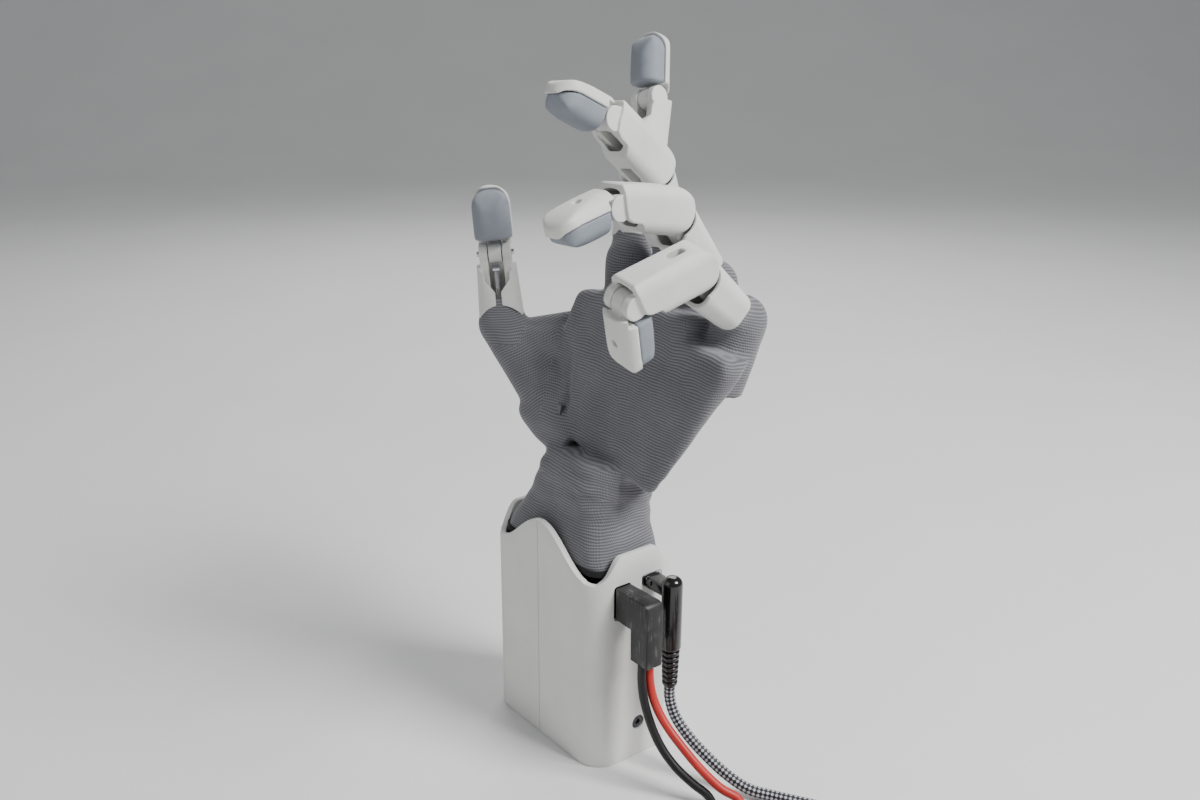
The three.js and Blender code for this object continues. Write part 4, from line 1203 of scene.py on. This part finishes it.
BLACK_ROUTE = (spot(51, -9.6, 53.2), spot(51, -9.6, 46), spot(52.3, -9.6, 39), spot(55, -9.2, 31.5),
               spot(58.5, -8.4, 24.5), spot(62.5, -7, 18.5), spot(67.5, -4.6, 12.8), spot(73, -1.4, 8),
               spot(79, 1.3, 4.6), on_floor(70, 51.4, 2.4), on_floor(77, 52, 2), on_floor(83.8, 52, 2))
RED_ROUTE = (spot(51, -5.7, 53.2), spot(51.1, -5.7, 46), spot(52.8, -5.7, 39.5), spot(56.5, -5.2, 33),
             spot(61.5, -4.2, 27.5), spot(66.6, -2.6, 22.6), spot(72, -0.6, 17.5), spot(77, 1.8, 12.8),
             spot(82.5, 5, 8.2), spot(88, 9, 4.8), on_floor(70, 60.9, 2.6), on_floor(77, 61, 2),
             on_floor(83.8, 61, 2))
USB_ROUTE = (spot(48.6, 7.3, 36.4), spot(48.8, 7.3, 31), spot(52, 7.6, 24), spot(58.5, 9, 17.5),
             spot(67, 11.5, 11.5), spot(76, 14.4, 6.6), spot(84.5, 18, 3.4), spot(92.5, 23.5, 2.5),
             on_floor(62, 82, 2.5), on_floor(66.5, 93, 2.5), on_floor(74, 103, 2.5), on_floor(82, 109, 2.5),
             on_floor(90.4, 110.5, 2.5))


def lay_lead(name, route, coil, tail, diameter, sides, material, nodes):
    """One lead from its plug over the floor into its coil and on to its end."""
    points = [*route, *coil, *tail]
    path = smooth_run(points, 1.5 * MM)
    obj, run = tube(name, path, diameter, sides)
    follow = smooth_run(points, 3 * MM)
    finish_piece(obj, material, "housing", nodes)
    return obj


class HAND_OT_leads(bpy.types.Operator):
    """Lays the two power wires and the braided cable, each wound into its coil"""
    bl_idname = "hand.leads"
    bl_label = "Leads"

    def execute(self, context):
        sizes, finishes = context.scene.hand_sizes, context.scene.hand_finishes
        wire, cable = sizes.wire / MM, sizes.cable / MM
        black = silicone_wire("black_silicone_wire", "#0E0E0F", finishes.black_wire)
        red = silicone_wire("red_silicone_wire", "#B02820", finishes.red_wire)
        lay_lead("power_wire_black", BLACK_ROUTE, wound((97, 30), 22, 2, wire, 90, -1, 2),
                 (on_floor(100.5, 52, 5.5), on_floor(104.5, 52.2, 5.3), on_floor(108.5, 52.5, 4.3),
                  on_floor(112, 52.7, 3.6), on_floor(117, 52.7, 3.6)), sizes.wire, 12, black,
                 ("power_lead_black", "power_coil_black"))
        lay_lead("power_wire_red", RED_ROUTE, wound((97, 83), 22, 2, wire, -90, 1, 2),
                 (on_floor(100.5, 61, 5.5), on_floor(104.5, 60.8, 5.3), on_floor(108.5, 60.5, 4.3),
                  on_floor(112, 60.3, 3.6), on_floor(117, 60.3, 3.6)), sizes.wire, 12, red,
                 ("power_lead_red", "power_coil_red"))
        lay_lead("braided_cable", USB_ROUTE, wound((108, 142), 31.5, 3, cable, -90, 1, 2.5),
                 (on_floor(112.5, 110.5, 7), on_floor(117, 110.5, 6.9), on_floor(122, 110.5, 6),
                  on_floor(126, 110.5, 4.9), on_floor(131, 110.5, 4.2)), sizes.cable, 16, braided_sleeve(),
                 ("usb_cable", "usb_coil"))
        return {"FINISHED"}


# ------------------------------------------------------------------ CAD pieces that stay
class HAND_OT_fittings(bpy.types.Operator):
    """Gives the CAD pieces that stay in view or inside their finishes"""
    bl_idname = "hand.fittings"
    bl_label = "Fittings"

    def execute(self, context):
        steel = metal("machined_steel", "#B9BABD", 0.28)
        pins = metal("ground_pin_steel", "#C4C5C8", 0.18)
        alloy = metal("anodised_aluminium", "#8D9095", 0.38)
        looks = {"collar_gasket": rubber(), "base_plate": rubber(), "power_socket": gloss_moulding(),
                 "usb_socket": steel, "controller_board": circuit_board(), "wrist_cross": steel,
                 "thumb_push_rod": pins, "thumb_tip_pin": pins, "usb_end_plug": gloss_moulding(),
                 "power_end_connector": worn_moulding(context.scene.hand_finishes)}
        for name in FINGERS:
            looks[f"{name}_knuckle_pin"] = pins
            looks[f"drive_{name}"] = alloy
        for name in ("flexion_motor", "deviation_motor", "wrist_post", "palm_frame", "thumb_metacarpal"):
            looks[name] = alloy
        for name, material in looks.items():
            for slot in frame["nodes"][name].material_slots:
                slot.link = "OBJECT"
                slot.material = material
        return {"FINISHED"}


# ------------------------------------------------------------------ stage
class HAND_OT_stage(bpy.types.Operator):
    """Sets the floor, the soft lights and the camera"""
    bl_idname = "hand.stage"
    bl_label = "Stage"

    def execute(self, context):
        deselect()
        bpy.ops.mesh.primitive_plane_add(size=1, location=(0, 0, FLOOR_DROP))
        floor = named("floor")
        way, across = Vector((-0.795, 0.607, 0)), Vector((0.607, 0.795, 0))
        for vertex in floor.data.vertices:
            ahead = way * (FLOOR_FAR if vertex.co.y > 0 else FLOOR_NEAR)
            aside = across * (FLOOR_SIDE if vertex.co.x > 0 else -FLOOR_SIDE)
            vertex.co = ahead + aside + Vector((0, 0, FLOOR_DROP))
        # The far edge is drawn up into a wall, and the corner rounded into a sweep
        select_edges(floor, lambda mid, along: (mid * MM).dot(way) > 3.1)
        bpy.ops.mesh.extrude_region_move(TRANSFORM_OT_translate={"value": (0, 0, 6)})
        bpy.ops.object.mode_set(mode="OBJECT")
        bevel(floor, lambda mid, along: (mid * MM).dot(way) > 3.1 and abs(mid.z) < 1 and abs(along.z) < 0.1,
              1800, 24)
        smooth_by_angle(floor, 60)
        floor.data.materials.append(paper_floor())
        world = context.scene.world or bpy.data.worlds.new("studio")
        context.scene.world = world
        world.use_nodes = True
        world.node_tree.nodes["Background"].inputs["Color"].default_value = linear("#EEF0F4")
        world.node_tree.nodes["Background"].inputs["Strength"].default_value = 0.3
        target = Vector((0.01, 0, 0.14))
        for name, (at, size, power) in LAMPS.items():
            data = bpy.data.lights.new(name, "AREA")
            data.size = size
            data.energy = power
            lamp = bpy.data.objects.new(name, data)
            context.scene.collection.objects.link(lamp)
            lamp.location = at
            lamp.rotation_euler = (target - Vector(at)).to_track_quat("-Z", "Y").to_euler()
        data = bpy.data.cameras.new("camera")
        data.lens = 34.5
        data.sensor_width = 36
        data.shift_x = 0.0183
        data.clip_start = 0.01
        camera = bpy.data.objects.new("camera", data)
        context.scene.collection.objects.link(camera)
        right, back = Vector(CAMERA_RIGHT), Vector(CAMERA_BACK)
        turn = Matrix((right, back.cross(right), back)).transposed()
        camera.matrix_world = Matrix.Translation(Vector(CAMERA_PLACE)) @ turn.to_4x4()
        context.scene.camera = camera
        return {"FINISHED"}


STEPS = ("stage", "leads", "housing", "screw", "plugs", "fingers", "thumb", "sleeve", "fittings")


class HAND_PT_panel(bpy.types.Panel):
    """Lists the steps that build the hand"""
    bl_idname = "HAND_PT_panel"
    bl_label = "Prosthetic hand"
    bl_space_type = "VIEW_3D"
    bl_region_type = "UI"
    bl_category = "Hand"

    def draw(self, context):
        for group in (context.scene.hand_sizes, context.scene.hand_finishes):
            for key in group.__annotations__:
                self.layout.prop(group, key)
        for step in STEPS:
            self.layout.operator("hand." + step)


CLASSES = (HandSizes, HandFinishes, HAND_OT_stage, HAND_OT_leads, HAND_OT_housing, HAND_OT_screw, HAND_OT_plugs,
           HAND_OT_fingers, HAND_OT_thumb, HAND_OT_sleeve, HAND_OT_fittings, HAND_PT_panel)


def register():
    for item in CLASSES:
        bpy.utils.register_class(item)
    bpy.types.Scene.hand_sizes = bpy.props.PointerProperty(type=HandSizes)
    bpy.types.Scene.hand_finishes = bpy.props.PointerProperty(type=HandFinishes)


def unregister():
    del bpy.types.Scene.hand_finishes
    del bpy.types.Scene.hand_sizes
    for item in reversed(CLASSES):
        bpy.utils.unregister_class(item)


def main():
    register()
    for step in STEPS:
        getattr(bpy.ops.hand, step)()


if __name__ == "__main__":
    main()
